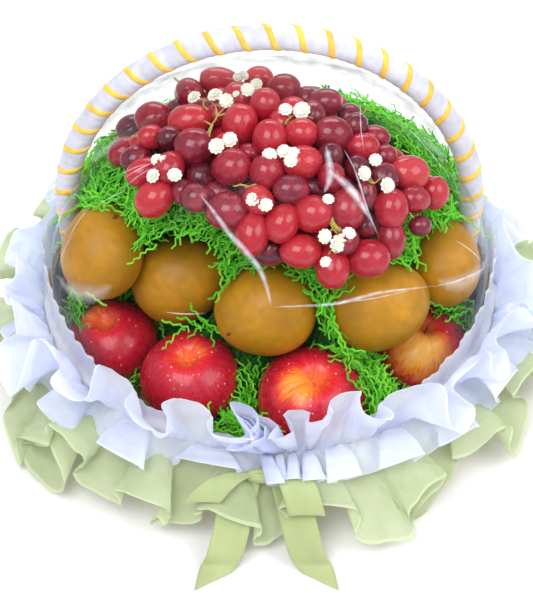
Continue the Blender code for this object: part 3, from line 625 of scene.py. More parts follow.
def add_node(tree, kind, inputs=None, **settings):
    """Add a shader node, set its values and link its inputs."""
    made = tree.nodes.new(kind)
    for name, value in settings.items():
        setattr(made, name, value)
    for name, value in (inputs or {}).items():
        if isinstance(value, bpy.types.NodeSocket):
            tree.links.new(value, made.inputs[name])
        else:
            made.inputs[name].default_value = value
    return made


def ramp(tree, factor, stops):
    """A colour ramp; each stop is (place, colour)."""
    made = add_node(tree, "ShaderNodeValToRGB", {"Fac": factor})
    elements = made.color_ramp.elements
    while len(elements) < len(stops):
        elements.new(0.5)
    for element, (place, colour) in zip(elements, stops):
        element.position = place
        element.color = (*colour, 1)
    return made.outputs["Color"]


def blend_colours(tree, factor, first, second):
    """Mix two colours by a factor."""
    made = add_node(tree, "ShaderNodeMix", data_type="RGBA")
    for socket, value in ((0, factor), (6, first), (7, second)):
        if isinstance(value, bpy.types.NodeSocket):
            tree.links.new(value, made.inputs[socket])
        elif socket:
            made.inputs[socket].default_value = (*value, 1)
        else:
            made.inputs[socket].default_value = value
    return made.outputs[2]


def ranged(tree, value, low, high, start=0.0, end=1.0):
    """Map a value from one range to another, clamped."""
    made = add_node(tree, "ShaderNodeMapRange", {"Value": value, "From Min": low})
    for name, number in (("From Max", high), ("To Min", start), ("To Max", end)):
        made.inputs[name].default_value = number
    return made.outputs["Result"]


def combine(tree, kind, first, second):
    """A Math node of two values."""
    made = add_node(tree, "ShaderNodeMath", operation=kind)
    for socket, value in ((0, first), (1, second)):
        if isinstance(value, bpy.types.NodeSocket):
            tree.links.new(value, made.inputs[socket])
        else:
            made.inputs[socket].default_value = value
    return made.outputs[0]


def shaded(colour, share):
    """A colour with each part multiplied by a share."""
    return tuple(c * share for c in colour)


def new_group(name, inputs, outputs):
    """A shader node group with named float inputs and outputs."""
    group = bpy.data.node_groups.new(name, "ShaderNodeTree")
    group.interface.new_socket("Vector", in_out="INPUT", socket_type="NodeSocketVector")
    for label, value in inputs:
        made = group.interface.new_socket(label, in_out="INPUT", socket_type="NodeSocketFloat")
        made.default_value = value
    for label in outputs:
        group.interface.new_socket(label, in_out="OUTPUT", socket_type="NodeSocketFloat")
    return group, group.nodes.new("NodeGroupInput"), group.nodes.new("NodeGroupOutput")


def speckle_group():
    """Scattered dots of uneven size: lenticels, pores and bloom spots."""
    group, given, out = new_group(
        "Speckle", (("Scale", 400.0), ("Size", 0.2), ("Share", 0.5)), ("Mask",))
    inputs = {"Vector": given.outputs["Vector"], "Scale": given.outputs["Scale"]}
    cells = add_node(group, "ShaderNodeTexVoronoi", inputs)
    tone = add_node(group, "ShaderNodeSeparateColor", {"Color": cells.outputs["Color"]})
    chosen = combine(group, "LESS_THAN", tone.outputs["Red"], given.outputs["Share"])
    uneven = combine(group, "MULTIPLY_ADD", tone.outputs["Green"], 0.7)
    uneven.node.inputs[2].default_value = 0.5
    size = combine(group, "MULTIPLY", uneven, given.outputs["Size"])
    near = add_node(group, "ShaderNodeMapRange", {
        "Value": cells.outputs["Distance"], "From Min": size, "From Max": 0.0}).outputs[0]
    group.links.new(combine(group, "MULTIPLY", near, chosen), out.inputs["Mask"])
    return group


def patches_group():
    """Soft blotches in two sizes, for ripeness, dust and crumpling."""
    group, given, out = new_group(
        "Patches", (("Scale", 40.0), ("Stretch", 1.0)), ("Coarse", "Fine"))
    squeeze = add_node(group, "ShaderNodeCombineXYZ", {
        "X": 1.0, "Y": 1.0, "Z": given.outputs["Stretch"]})
    stretched = add_node(group, "ShaderNodeVectorMath", {
        0: given.outputs["Vector"], 1: squeeze.outputs[0]}, operation="MULTIPLY")
    for label, factor, detail in (("Coarse", 1.0, 2.0), ("Fine", 5.0, 6.0)):
        scale = combine(group, "MULTIPLY", given.outputs["Scale"], factor)
        grain = add_node(group, "ShaderNodeTexNoise", {
            "Vector": stretched.outputs[0], "Scale": scale, "Detail": detail})
        group.links.new(grain.outputs["Fac"], out.inputs[label])
    return group


def weave_group():
    """Two crossing sets of fine threads, from a sheet's own map."""
    group, given, out = new_group(
        "Weave", (("Along", 600.0), ("Across", 60.0)), ("Height", "Threads"))
    split = add_node(group, "ShaderNodeSeparateXYZ", {"Vector": given.outputs["Vector"]})
    waves = []
    for label, side in (("Along", "X"), ("Across", "Y")):
        turned = combine(group, "MULTIPLY", split.outputs[side], given.outputs[label])
        wave = combine(group, "SINE", combine(group, "MULTIPLY", turned, math.tau), 0.0)
        waves.append(ranged(group, wave, -1.0, 1.0))
    height = combine(group, "MAXIMUM", waves[0], waves[1])
    group.links.new(height, out.inputs["Height"])
    stretched = add_node(group, "ShaderNodeVectorMath", {
        0: given.outputs["Vector"], 1: (420.0, 6.0, 1.0)}, operation="MULTIPLY")
    grain = add_node(group, "ShaderNodeTexNoise", {
        "Vector": stretched.outputs[0], "Scale": 1.0, "Detail": 4.0})
    group.links.new(grain.outputs["Fac"], out.inputs["Threads"])
    return group


def use_group(tree, name, vector, **values):
    """Place a shared node group with its values."""
    made = tree.nodes.new("ShaderNodeGroup")
    made.node_tree = bpy.data.node_groups[name]
    tree.links.new(vector, made.inputs["Vector"])
    for label, value in values.items():
        made.inputs[label].default_value = value
    return made.outputs


def blotches(tree, vector, scale, stretch=1.0):
    """Soft blotches over a surface, as outputs Coarse and Fine."""
    return use_group(tree, "Patches", vector, Scale=scale, Stretch=stretch)


def speckles(tree, vector, scale, size, share):
    """A mask of small dots over a surface."""
    return use_group(tree, "Speckle", vector, Scale=scale, Size=size, Share=share)["Mask"]


def new_material(name, roughness, **values):
    """A Principled material with plain values on its own sockets."""
    material = bpy.data.materials.new(name)
    material.use_nodes = True
    tree = material.node_tree
    shader = tree.nodes["Principled BSDF"]
    shader.inputs["Roughness"].default_value = roughness
    for label, value in values.items():
        shader.inputs[label.replace("_", " ").title()].default_value = value
    shader.inputs["Specular IOR Level"].default_value = SPECULAR_LEVEL
    return material, tree, shader


def object_vector(tree, offset=(0, 0, 0), turn=(0, 0, 0)):
    """Object coordinates, centred and turned on a piece."""
    coordinates = tree.nodes.new("ShaderNodeTexCoord")
    mapping = add_node(tree, "ShaderNodeMapping", {
        "Vector": coordinates.outputs["Object"], "Location": offset, "Rotation": turn},
        vector_type="TEXTURE")
    return mapping.outputs["Vector"]


def set_colour(tree, shader, colour):
    """Give the shader its colour."""
    tree.links.new(colour, shader.inputs["Base Color"])


def set_bump(tree, shader, height, distance, strength=1.0):
    """Give the shader a bump from a height."""
    bump = add_node(tree, "ShaderNodeBump", {
        "Height": height, "Distance": distance, "Strength": strength})
    tree.links.new(bump.outputs["Normal"], shader.inputs["Normal"])


def wrap_material(colours):
    """Lavender-white ribbon wound round the hoop, faintly ribbed."""
    material, tree, shader = new_material("Wrapped ribbon", 0.55, sheen_weight=0.25)
    vector = object_vector(tree)
    patches = blotches(tree, vector, 90.0)
    shades = (shaded(colours.handle, 0.8), tuple(colours.handle))
    set_colour(tree, shader, ramp(tree, patches["Coarse"], ((0.3, shades[0]), (0.62, shades[1]))))
    ribs = add_node(tree, "ShaderNodeTexWave", {
        "Vector": vector, "Scale": 700.0, "Distortion": 1.5}, bands_direction="DIAGONAL")
    set_bump(tree, shader, ribs.outputs["Fac"], 0.0002, 0.5)
    return material


def gold_material(colours):
    """Narrow golden ribbon with a grain along its length."""
    material, tree, shader = new_material("Gold ribbon", 0.38, sheen_weight=0.2)
    vector = object_vector(tree)
    patches = blotches(tree, vector, 120.0)
    dark = shaded(colours.gold, 0.72)
    tinted = ramp(tree, patches["Coarse"], ((0.32, dark), (0.6, tuple(colours.gold))))
    set_colour(tree, shader, tinted)
    set_bump(tree, shader, patches["Fine"], 0.0003, 0.4)
    return material


def apple_material(name, colours):
    """Red skin with streaks from the cavity, pale pores and a yellow shoulder."""
    centre, radius, lean = APPLES[name]
    material, tree, shader = new_material(name + " skin", 0.28, coat_weight=0.2, coat_roughness=0.1)
    turn = (math.radians(lean[0]), math.radians(lean[1]), 0)
    vector = object_vector(tree, tuple(Vector(centre) * MM), turn)
    split = add_node(tree, "ShaderNodeSeparateXYZ", {"Vector": vector})
    level = add_node(tree, "ShaderNodeVectorMath", {
        0: vector, 1: (1.0, 1.0, 0.0)}, operation="MULTIPLY")
    flat = add_node(tree, "ShaderNodeVectorMath", {0: level.outputs[0]}, operation="NORMALIZE")
    across = add_node(tree, "ShaderNodeVectorMath", {0: level.outputs[0]}, operation="LENGTH")
    rising = combine(tree, "MULTIPLY", split.outputs["Z"], 0.35 / (radius * MM))
    streak_place = add_node(tree, "ShaderNodeCombineXYZ", {"Z": rising})
    place = add_node(tree, "ShaderNodeVectorMath", {
        0: flat.outputs[0], 1: streak_place.outputs[0]}, operation="ADD")
    streaks = add_node(tree, "ShaderNodeTexNoise", {
        "Vector": place.outputs[0], "Scale": 16.0, "Detail": 5.0, "Roughness": 0.65})
    patch = add_node(tree, "ShaderNodeTexNoise", {
        "Vector": place.outputs[0], "Scale": 1.7, "Detail": 2.0, "W": APPLE_SEEDS[name]},
        noise_dimensions="4D")
    near_stem = ranged(tree, across.outputs["Value"], radius * 0.62 * MM, radius * 0.12 * MM)
    upper = ranged(tree, split.outputs["Z"], radius * 0.2 * MM, radius * 0.6 * MM)
    shoulder = combine(tree, "MULTIPLY", near_stem, upper)
    streaked = combine(tree, "MULTIPLY", streaks.outputs["Fac"], 1.05)
    across_seen, down_seen, cosine, strength = APPLE_BLUSH[name]
    facing = add_node(tree, "ShaderNodeVectorMath", {0: vector}, operation="NORMALIZE")
    towards = seen_on_fruit(name, across_seen, down_seen).normalized()
    near_blush = add_node(tree, "ShaderNodeVectorMath", {
        0: facing.outputs[0], 1: towards}, operation="DOT_PRODUCT")
    wobble = combine(tree, "MULTIPLY_ADD", patch.outputs["Fac"], 0.2)
    tree.links.new(near_blush.outputs["Value"], wobble.node.inputs[2])
    blush = ranged(tree, wobble, cosine + 0.1, 1.08, 0.0, strength)
    pale = combine(tree, "MAXIMUM", combine(tree, "MULTIPLY", shoulder, 0.75), blush)
    mixed = combine(tree, "MULTIPLY", pale, streaked)
    red = tuple(colours.apple)
    skin = ramp(tree, mixed, (
        (0.0, shaded(red, 0.72)), (0.14, red), (0.3, (0.74, 0.04, 0.02)),
        (0.48, (0.95, 0.27, 0.025)), (0.72, (1.0, 0.63, 0.09))))
    fine = blend_colours(tree, ranged(tree, streaks.outputs["Fac"], 0.42, 0.7, 0.0, 0.5), skin,
                         (0.72, 0.05, 0.06))
    pores = speckles(tree, vector, 250.0, 0.2, 0.62)
    dotted = blend_colours(tree, combine(tree, "MULTIPLY", pores, 1.3), fine, (0.93, 0.62, 0.5))
    set_colour(tree, shader, dotted)
    patches = blotches(tree, vector, 60.0)
    tree.links.new(ranged(tree, patches["Fine"], 0.3, 0.7, 0.2, 0.4), shader.inputs["Roughness"])
    set_bump(tree, shader, combine(tree, "ADD", patches["Fine"], pores), 0.0001, 0.35)
    return material


def kiwi_material(colours):
    """Golden brown, smooth skin with tiny dark and pale pores."""
    material, tree, shader = new_material("Kiwi skin", 0.4)
    vector = object_vector(tree)
    patches = blotches(tree, vector, 35.0)
    base = tuple(colours.kiwi)
    skin = ramp(tree, patches["Coarse"], (
        (0.25, shaded(base, 0.74)), (0.5, base),
        (0.75, (base[0] * 1.25, base[1] * 1.22, base[2] * 1.1))))
    fine = blend_colours(tree, ranged(tree, patches["Fine"], 0.35, 0.7, 0.0, 0.45), skin,
                         shaded(base, 0.6))
    dark = speckles(tree, vector, 700.0, 0.26, 0.55)
    dotted = blend_colours(tree, combine(tree, "MULTIPLY", dark, 0.85), fine, (0.16, 0.07, 0.01))
    pale = speckles(tree, vector, 520.0, 0.22, 0.4)
    set_colour(tree, shader, blend_colours(
        tree, combine(tree, "MULTIPLY", pale, 0.6), dotted, (0.82, 0.52, 0.12)))
    set_bump(tree, shader, combine(tree, "SUBTRACT", patches["Fine"], dark), 0.00025, 0.5)
    return material


def grape_material(colours):
    """Red to dark purple skin, speckled, with a dusty bloom; painted shade darkens sunk grapes."""
    material, tree, shader = new_material("Grape skin", 0.22, coat_weight=0.35, coat_roughness=0.08)
    shader.inputs["Subsurface Weight"].default_value = 0.08
    shader.inputs["Subsurface Scale"].default_value = 0.004
    vector = object_vector(tree)
    tone = add_node(tree, "ShaderNodeAttribute", attribute_name="tone")
    red = tuple(colours.grape)
    base = ramp(tree, tone.outputs["Fac"], (
        (0.0, (0.06, 0.006, 0.016)), (0.25, (0.14, 0.008, 0.022)), (0.5, red),
        (0.8, (0.44, 0.016, 0.025)), (1.0, (0.5, 0.04, 0.045))))
    patches = blotches(tree, vector, 110.0)
    blotched = blend_colours(tree, ranged(tree, patches["Coarse"], 0.45, 0.7, 0.0, 0.45), base,
                             (0.5, 0.035, 0.06))
    dots = speckles(tree, vector, 620.0, 0.24, 0.4)
    dotted = blend_colours(tree, combine(tree, "MULTIPLY", dots, 0.5), blotched, (0.66, 0.14, 0.14))
    bloom = ranged(tree, patches["Fine"], 0.5, 0.8, 0.0, 0.1)
    set_colour(tree, shader, blend_colours(tree, bloom, dotted, (0.5, 0.2, 0.3)))
    tree.links.new(ranged(tree, patches["Fine"], 0.4, 0.7, 0.12, 0.32), shader.inputs["Roughness"])
    set_bump(tree, shader, patches["Fine"], 0.0001, 0.25)
    return material


def paper_material(colours):
    """Bright green paper, each strip of a random tone from dark to pale."""
    material, tree, shader = new_material("Green paper", 0.55)
    tone = add_node(tree, "ShaderNodeAttribute", attribute_name="tone")
    green = tuple(colours.paper)
    base = ramp(tree, tone.outputs["Fac"], (
        (0.0, shaded(green, 0.4)), (0.45, green),
        (1.0, (green[0] * 2.2, green[1] * 1.12, green[2] * 1.9))))
    vector = object_vector(tree)
    patches = blotches(tree, vector, 300.0)
    set_colour(tree, shader, blend_colours(
        tree, ranged(tree, patches["Coarse"], 0.3, 0.7, 0.0, 0.35), base, (0.05, 0.4, 0.02)))
    set_bump(tree, shader, patches["Fine"], 0.0002, 0.5)
    return material


def core_material():
    """Painted shade: a dark sheet for the shaded inside of the paper filling."""
    material, tree, shader = new_material("Deep paper painted shade", 0.8)
    patches = blotches(tree, object_vector(tree), 160.0)
    set_colour(tree, shader, ramp(tree, patches["Fine"], (
        (0.35, (0.008, 0.07, 0.005)), (0.65, (0.03, 0.24, 0.015)))))
    set_bump(tree, shader, patches["Fine"], 0.003, 1.0)
    return material


def film_material():
    """Thin clear film: see-through, with gloss that grows at grazing angles."""
    material = bpy.data.materials.new("Clear film")
    material.use_nodes = True
    tree = material.node_tree
    tree.nodes.remove(tree.nodes["Principled BSDF"])
    out = tree.nodes["Material Output"]
    vector = object_vector(tree)
    patches = blotches(tree, vector, 22.0, 0.5)
    bump = add_node(tree, "ShaderNodeBump", {"Height": patches["Coarse"], "Distance": 0.004})
    edge = add_node(tree, "ShaderNodeLayerWeight", {"Blend": 0.5})
    streaks = blotches(tree, vector, 70.0, 0.12)
    streaked = ranged(tree, streaks["Coarse"], 0.4, 0.62, 0.3, 1.0)
    hazed = combine(tree, "MULTIPLY", streaked, ranged(tree, edge.outputs["Facing"], 0.45, 0.9))
    clear = tree.nodes.new("ShaderNodeBsdfTransparent")
    tree.links.new(blend_colours(tree, hazed, (0.98, 0.985, 0.99), (0.45, 0.44, 0.42)),
                   clear.inputs["Color"])
    gloss = add_node(tree, "ShaderNodeBsdfAnisotropic", {
        "Color": (0.95, 0.97, 1.0, 1), "Roughness": 0.11, "Normal": bump.outputs["Normal"]})
    facing = add_node(tree, "ShaderNodeLayerWeight", {
        "Blend": 0.1, "Normal": bump.outputs["Normal"]})
    share = ranged(tree, facing.outputs["Fresnel"], 0.008, 0.7, 0.003, 0.95)
    sides = tree.nodes.new("ShaderNodeNewGeometry")
    share = combine(tree, "MULTIPLY", share, combine(
        tree, "SUBTRACT", 1.0, sides.outputs["Backfacing"]))
    mixed = add_node(tree, "ShaderNodeMixShader", {
        0: share, 1: clear.outputs[0], 2: gloss.outputs[0]})
    tree.links.new(mixed.outputs[0], out.inputs["Surface"])
    return material


def crease_material():
    """Folded film and painted glints of lamp light: whiter and glossier where it doubles."""
    material, tree, shader = new_material("Film crease and painted glint", 0.15, coat_weight=0.5)
    shader.inputs["Base Color"].default_value = (0.86, 0.9, 1.0, 1)
    edge = add_node(tree, "ShaderNodeAttribute", attribute_name="fade")
    patches = blotches(tree, object_vector(tree), 160.0)
    uneven = ranged(tree, patches["Coarse"], 0.3, 0.7, 0.35, 1.0)
    tree.links.new(combine(tree, "MULTIPLY", edge.outputs["Fac"], uneven), shader.inputs["Alpha"])
    return material


def haze_material():
    """Doubled film with a painted sheen: a milky veil over the fruit behind it."""
    material, tree, shader = new_material("Film haze and painted sheen", 0.3)
    shader.inputs["Base Color"].default_value = (0.86, 0.78, 0.8, 1)
    edge = add_node(tree, "ShaderNodeAttribute", attribute_name="fade")
    patches = blotches(tree, object_vector(tree), 150.0, 0.3)
    uneven_share = ranged(tree, patches["Coarse"], 0.3, 0.7, 0.5, 1.0)
    tree.links.new(combine(tree, "MULTIPLY", edge.outputs["Fac"], uneven_share),
                   shader.inputs["Alpha"])
    return material


def cloth_material(name, colour, painted_shade, cover, through):
    """Sheer nonwoven cloth: fine grain, see-through, lit from behind, blotched with painted shade.
    """
    material, tree, shader = new_material(name, 0.85)
    coordinates = tree.nodes.new("ShaderNodeTexCoord")
    weave = use_group(tree, "Weave", coordinates.outputs["UV"], Along=900.0, Across=26.0)
    patches = blotches(tree, object_vector(tree), 30.0)
    base = ramp(tree, patches["Coarse"], ((0.3, painted_shade), (0.6, tuple(colour))))
    threads = ranged(tree, weave["Threads"], 0.35, 0.65, 0.0, 0.3)
    tinted = blend_colours(tree, threads, base, painted_shade)
    parts = add_node(tree, "ShaderNodeSeparateXYZ", {0: coordinates.outputs["UV"]})
    hem = ranged(tree, parts.outputs["Y"], 0.955, 0.97, 0.0, 0.8)
    tinted = blend_colours(tree, hem, tinted, tuple(min(1.0, 1.12 * c) for c in colour))
    set_colour(tree, shader, tinted)
    covered = ranged(tree, weave["Threads"], 0.3, 0.7, cover, min(1.0, cover + 0.1))
    tree.links.new(combine(tree, "MAXIMUM", covered, hem), shader.inputs["Alpha"])
    set_bump(tree, shader, weave["Height"], 0.00012, 0.35)
    behind = add_node(tree, "ShaderNodeBsdfTranslucent", {"Color": tinted})
    mixed = add_node(tree, "ShaderNodeMixShader", {
        0: through, 1: shader.outputs[0], 2: behind.outputs[0]})
    tree.links.new(mixed.outputs[0], tree.nodes["Material Output"].inputs["Surface"])
    return material


def satin_material(colours):
    """Pale green satin ribbon: a sheen across fine lengthwise threads."""
    material, tree, shader = new_material("Satin ribbon", 0.34, sheen_weight=0.3)
    shader.inputs["Anisotropic"].default_value = 0.5
    coordinates = tree.nodes.new("ShaderNodeTexCoord")
    weave = use_group(tree, "Weave", coordinates.outputs["UV"], Along=300.0, Across=120.0)
    green = tuple(colours.satin)
    patches = blotches(tree, object_vector(tree), 40.0)
    base = ramp(tree, patches["Coarse"], ((0.3, shaded(green, 0.82)), (0.65, green)))
    set_colour(tree, shader, blend_colours(
        tree, ranged(tree, weave["Threads"], 0.35, 0.65, 0.0, 0.25), base,
        shaded(green, 0.75)))
    set_bump(tree, shader, weave["Height"], 0.0001, 0.3)
    return material


def plain_food_material(name, colours, roughness, scale):
    """A mottled matt skin for stems, flowers and scars."""
    material, tree, shader = new_material(name, roughness)
    patches = blotches(tree, object_vector(tree), scale)
    set_colour(tree, shader, ramp(tree, patches["Fine"], ((0.35, colours[0]), (0.62, colours[1]))))
    set_bump(tree, shader, patches["Fine"], 0.0002, 0.6)
    return material


def tub_material():
    """Plain cane, mottled light and dark."""
    material, tree, shader = new_material("Cane", 0.6)
    vector = object_vector(tree)
    patches = blotches(tree, vector, 120.0)
    set_colour(tree, shader, ramp(tree, patches["Fine"], (
        (0.3, (0.34, 0.2, 0.08)), (0.65, (0.62, 0.43, 0.21)))))
    set_bump(tree, shader, patches["Fine"], 0.0004, 0.5)
    return material


# Sizes and colours that a user would change


def colour_property(name, description, default):
    """A colour that the panel shows."""
    return bpy.props.FloatVectorProperty(
        name=name, description=description, default=default, subtype="COLOR", size=3, min=0, max=1)


def length_property(name, description, default, low, high):
    """A length that the panel shows."""
    return bpy.props.FloatProperty(
        name=name, description=description, default=default, min=low, max=high, unit="LENGTH")


def count_property(name, description, default, low, high):
    """A number of pieces or folds that the panel shows."""
    return bpy.props.IntProperty(
        name=name, description=description, default=default, min=low, max=high)


class BasketColours(bpy.types.PropertyGroup):
    """Colours of the basket's finishes."""

    handle: colour_property(
        "Handle ribbon", "Ribbon wrapped round the handle", (0.62, 0.62, 0.7))
    gold: colour_property(
        "Gold ribbon", "Narrow ribbon wound over the handle", (0.93, 0.56, 0.06))
    apple: colour_property("Apples", "Red of the apples", (0.62, 0.006, 0.03))
    kiwi: colour_property("Kiwis", "Golden brown of the kiwis", (0.46, 0.21, 0.007))
    grape: colour_property("Grapes", "Middle red of the grapes", (0.36, 0.008, 0.02))
    paper: colour_property("Shredded paper", "Green of the paper strips", (0.11, 0.62, 0.02))
    white_cloth: colour_property("White cloth", "Cloth of the upper ruffle", (0.87, 0.91, 1.0))
    green_cloth: colour_property("Green cloth", "Cloth of the lower ruffle", (0.62, 0.69, 0.45))
    satin: colour_property("Satin ribbon", "Ribbon of the bow", (0.42, 0.49, 0.22))


class BasketSizes(bpy.types.PropertyGroup):
    """Sizes and counts of the loose pieces."""

    white_fold: length_property(
        "White fold depth", "Swing of the white ruffle's folds", 13.5 * MM, 0, 0.03)
    white_overlap: length_property(
        "White fold overlap", "How far the white folds lap sideways", 8.5 * MM, 0, 0.02)
    green_fold: length_property(
        "Green fold depth", "Swing of the green ruffle's flutes", 18 * MM, 0, 0.03)
    green_overlap: length_property(
        "Green fold overlap", "How far the green flutes lap sideways", 14 * MM, 0, 0.02)
    white_waves: count_property("White folds", "Folds round the white ruffle", 22, 8, 60)
    green_waves: count_property("Green flutes", "Flutes round the green ruffle", 22, 8, 60)
    strips: count_property("Paper strips", "Crinkled strips that are scattered", 4100, 100, 8000)
    strip_width: length_property(
        "Strip width", "Width of a paper strip", 1.5 * MM, 0.0005, 0.004)


# Pieces


def handle_length():
    """Length of the handle's centre line."""
    return 2 * (HANDLE_SPRING - LEG_FOOT) + math.pi * HANDLE_RADIUS


def handle_point(distance):
    """Point of the handle's centre line and its direction, by distance from the left foot."""
    leg = HANDLE_SPRING - LEG_FOOT
    arch = math.pi * HANDLE_RADIUS
    if distance <= leg:
        return Vector((-HANDLE_RADIUS, 0, LEG_FOOT + distance)), Vector((0, 0, 1))
    if distance >= leg + arch:
        height = HANDLE_SPRING - (distance - leg - arch)
        return Vector((HANDLE_RADIUS, 0, height)), Vector((0, 0, -1))
    turn = math.pi - (distance - leg) / HANDLE_RADIUS
    point = Vector((HANDLE_RADIUS * math.cos(turn), 0, HANDLE_RADIUS * math.sin(turn)))
    point.z += HANDLE_SPRING
    return point, Vector((math.sin(turn), 0, -math.cos(turn)))


def handle_ring(distance, sides, radius_of):
    """Points round the handle at a distance; radius_of gives the radius at each angle."""
    centre, along = handle_point(distance)
    inward = Vector((0, 1, 0)).cross(along)
    ring = []
    for side in range(sides):
        turn = math.tau * side / sides
        outward = Vector((0, 1, 0)) * math.cos(turn) + inward * math.sin(turn)
        ring.append(centre + outward * radius_of(turn))
    return ring


class BASKET_OT_handle(bpy.types.Operator):
    """Build the hoop with its overlapping ribbon wrap and the gold winding"""

    bl_idname = "basket.handle"
    bl_label = "Handle"

    def execute(self, context):
        colours = context.scene.basket_colours
        total = handle_length()
        steps = int(total / WRAP_RING_STEP)
        rings = []
        for step in range(steps + 1):
            distance = total * step / steps

            def wrapped(turn):
                lap = (distance / WRAP_PITCH + turn / math.tau) % 1
                return HANDLE_TUBE - WRAP_SUNK + WRAP_STEP * (1 - lap) ** 0.7

            rings.append(handle_ring(distance, WRAP_SIDES, wrapped))
        form = bmesh.new()
        sweep(form, rings)
        new_piece("handle_wrap", form, wrap_material(colours), ("handle",))
        start = WINDING_START - LEG_FOOT - WINDING_HIDDEN
        length = total - 2 * start
        steps = int(length / WINDING_PITCH * WINDING_STEPS)
        rings = []
        for step in range(steps + 1):
            distance = start + length * step / steps
            centre, along = handle_point(distance)
            inward = Vector((0, 1, 0)).cross(along)
            turn = -math.tau * distance / WINDING_PITCH
            outward = Vector((0, 1, 0)) * math.cos(turn) + inward * math.sin(turn)
            ring = []
            for side, lift in WINDING_SECTION:
                offset = along * (side * WINDING_WIDTH / 2)
                ring.append(centre + outward * (HANDLE_TUBE + lift * MM) + offset)
            rings.append(ring)
        form = bmesh.new()
        sweep(form, rings)
        face_outward(form)
        new_piece("gold_winding", form, gold_material(colours), ("handle_winding",))
        return {"FINISHED"}


def apple_outline(radius):
    """Half outline of an apple from the stem cavity round to the eye."""
    outline = []
    for step in range(APPLE_STEPS + 1):
        turn = math.pi * step / APPLE_STEPS
        across = math.sin(turn) * (1 + 0.05 * math.cos(turn))
        height = APPLE_HEIGHT_SHARE * math.cos(turn)
        near_axis = max(0.0, 1 - across / CAVITY_REACH)
        height += (-CAVITY_DEPTH if turn < math.pi / 2 else CALYX_DEPTH) * near_axis ** 2
        outline.append((radius * across, radius * height))
    return outline


def make_apple(name, colours, stem_material):
    """An apple spun from its half outline, with soft lobes, and its stem."""
    radius = APPLES[name][1]
    source = random.Random(name)
    form = bmesh.new()
    corners = [form.verts.new((max(x, 0.0), 0, z)) for x, z in apple_outline(radius * MM)]
    edges = [form.edges.new(pair) for pair in zip(corners, corners[1:])]
    bmesh.ops.spin(form, geom=corners + edges, axis=(0, 0, 1), cent=(0, 0, 0), steps=60,
                   angle=math.tau, use_merge=True)
    bmesh.ops.remove_doubles(form, verts=form.verts, dist=0.02 * MM)
    face_outward(form)
    phase = source.uniform(0, math.tau)
    for corner in form.verts:
        turn = math.atan2(corner.co.y, corner.co.x)
        height = corner.co.z / (radius * MM)
        lobe = 0.014 * math.cos(5 * turn + phase) * (0.4 - height)
        lobe += 0.012 * math.cos(2 * turn + phase * 2) + 0.008 * math.cos(3 * turn + phase * 3)
        corner.co.x *= 1 + lobe
        corner.co.y *= 1 + lobe
        corner.co.z *= 1 + 0.02 * math.cos(turn + phase) * max(0.0, height)
    matrix = fruit_matrix(name)
    bmesh.ops.transform(form, matrix=matrix, verts=form.verts)
    skin = apple_material(name, colours)
    new_piece(name + "_fruit", form, skin, (name,))
    base = radius * (APPLE_HEIGHT_SHARE - STEM_FOOT) * MM
    bend = Vector((source.uniform(-2, 2), source.uniform(0, 2), 0)) * MM
    tall = APPLE_STEMS[name] * MM
    path = [Vector((0, 0, base)), Vector((0, 0, base + tall * 0.4)) + bend * 0.3,
            Vector((0, 0, base + tall * 0.8)) + bend, Vector((0, 0, base + tall)) + bend * 1.7]
    path = [matrix @ point for point in smooth_path(path, 3)]
    radii = [0.8 * MM + 0.4 * MM * (index / (len(path) - 1)) ** 3 for index in range(len(path))]
    form = bmesh.new()
    sweep(form, tube_rings(path, radii, 8))
    new_piece(name + "_stem", form, stem_material, ())


class BASKET_OT_apples(bpy.types.Operator):
    """Build the four apples with their stems"""

    bl_idname = "basket.apples"
    bl_label = "Apples"

    def execute(self, context):
        stem = plain_food_material("Apple stem", ((0.1, 0.05, 0.015), (0.3, 0.2, 0.06)), 0.7, 300.0)
        for name in APPLES:
            make_apple(name, context.scene.basket_colours, stem)
        return {"FINISHED"}


def make_kiwi(name, skin, scar_material):
    """A kiwi: an uneven egg with a small dry scar on its narrow end."""
    length, width = KIWIS[name][1]
    source = random.Random(name)
    phases = [source.uniform(0, math.tau) for _ in range(4)]
    form = bmesh.new()
    bmesh.ops.create_uvsphere(form, u_segments=56, v_segments=38, radius=1)
    bmesh.ops.rotate(form, verts=form.verts, matrix=Matrix.Rotation(math.pi / 2, 3, "Y"))
    for corner in form.verts:
        along = corner.co.x
        turn = math.atan2(corner.co.z, corner.co.y)
        taper = 1 - KIWI_TAPER * along + 0.012 * math.cos(2 * turn + phases[0])
        taper += 0.008 * math.cos(3 * turn + phases[1] + 2 * along)
        dimple = 0.03 * math.exp(-((1 - along) / 0.02) ** 2) if along > 0 else 0.0
        corner.co.x = length * (along - dimple)
        corner.co.y *= width * taper
        corner.co.z *= width * taper
    matrix = fruit_matrix(name)
    bmesh.ops.scale(form, vec=(MM, MM, MM), verts=form.verts)
    bmesh.ops.transform(form, matrix=matrix, verts=form.verts)
    new_piece(name + "_fruit", form, skin, (name,))
    form = bmesh.new()
    bmesh.ops.create_uvsphere(form, u_segments=14, v_segments=8, radius=1)
    for corner in form.verts:
        rough = 1 + 0.3 * math.sin(5 * math.atan2(corner.co.y, corner.co.x) + phases[2])
        x, y, z = corner.co
        corner.co = Vector((x * 2.3 * rough, y * 1.9 * rough, z * 0.7))
    bmesh.ops.scale(form, vec=(MM, MM, MM), verts=form.verts)
    far = math.copysign(1, (matrix.to_3x3() @ Vector((1, 0, 0))).dot(VIEW_INTO))
    place = Vector((far * length * 0.98 * MM, 0, 0))
    if name in SCARS_SEEN:
        place = seen_on_fruit(name, *SCARS_SEEN[name])
    outward = Vector((place.x / length ** 2, place.y / width ** 2, place.z / width ** 2))
    facing = outward.to_track_quat("Z", "Y").to_matrix().to_4x4()
    taper = 1 - KIWI_TAPER * place.x / (length * MM)
    place = Vector((place.x, place.y * taper, place.z * taper))
    bmesh.ops.transform(form, matrix=matrix @ Matrix.Translation(place) @ facing, verts=form.verts)
    face_outward(form)
    new_piece(name + "_scar", form, scar_material, ())


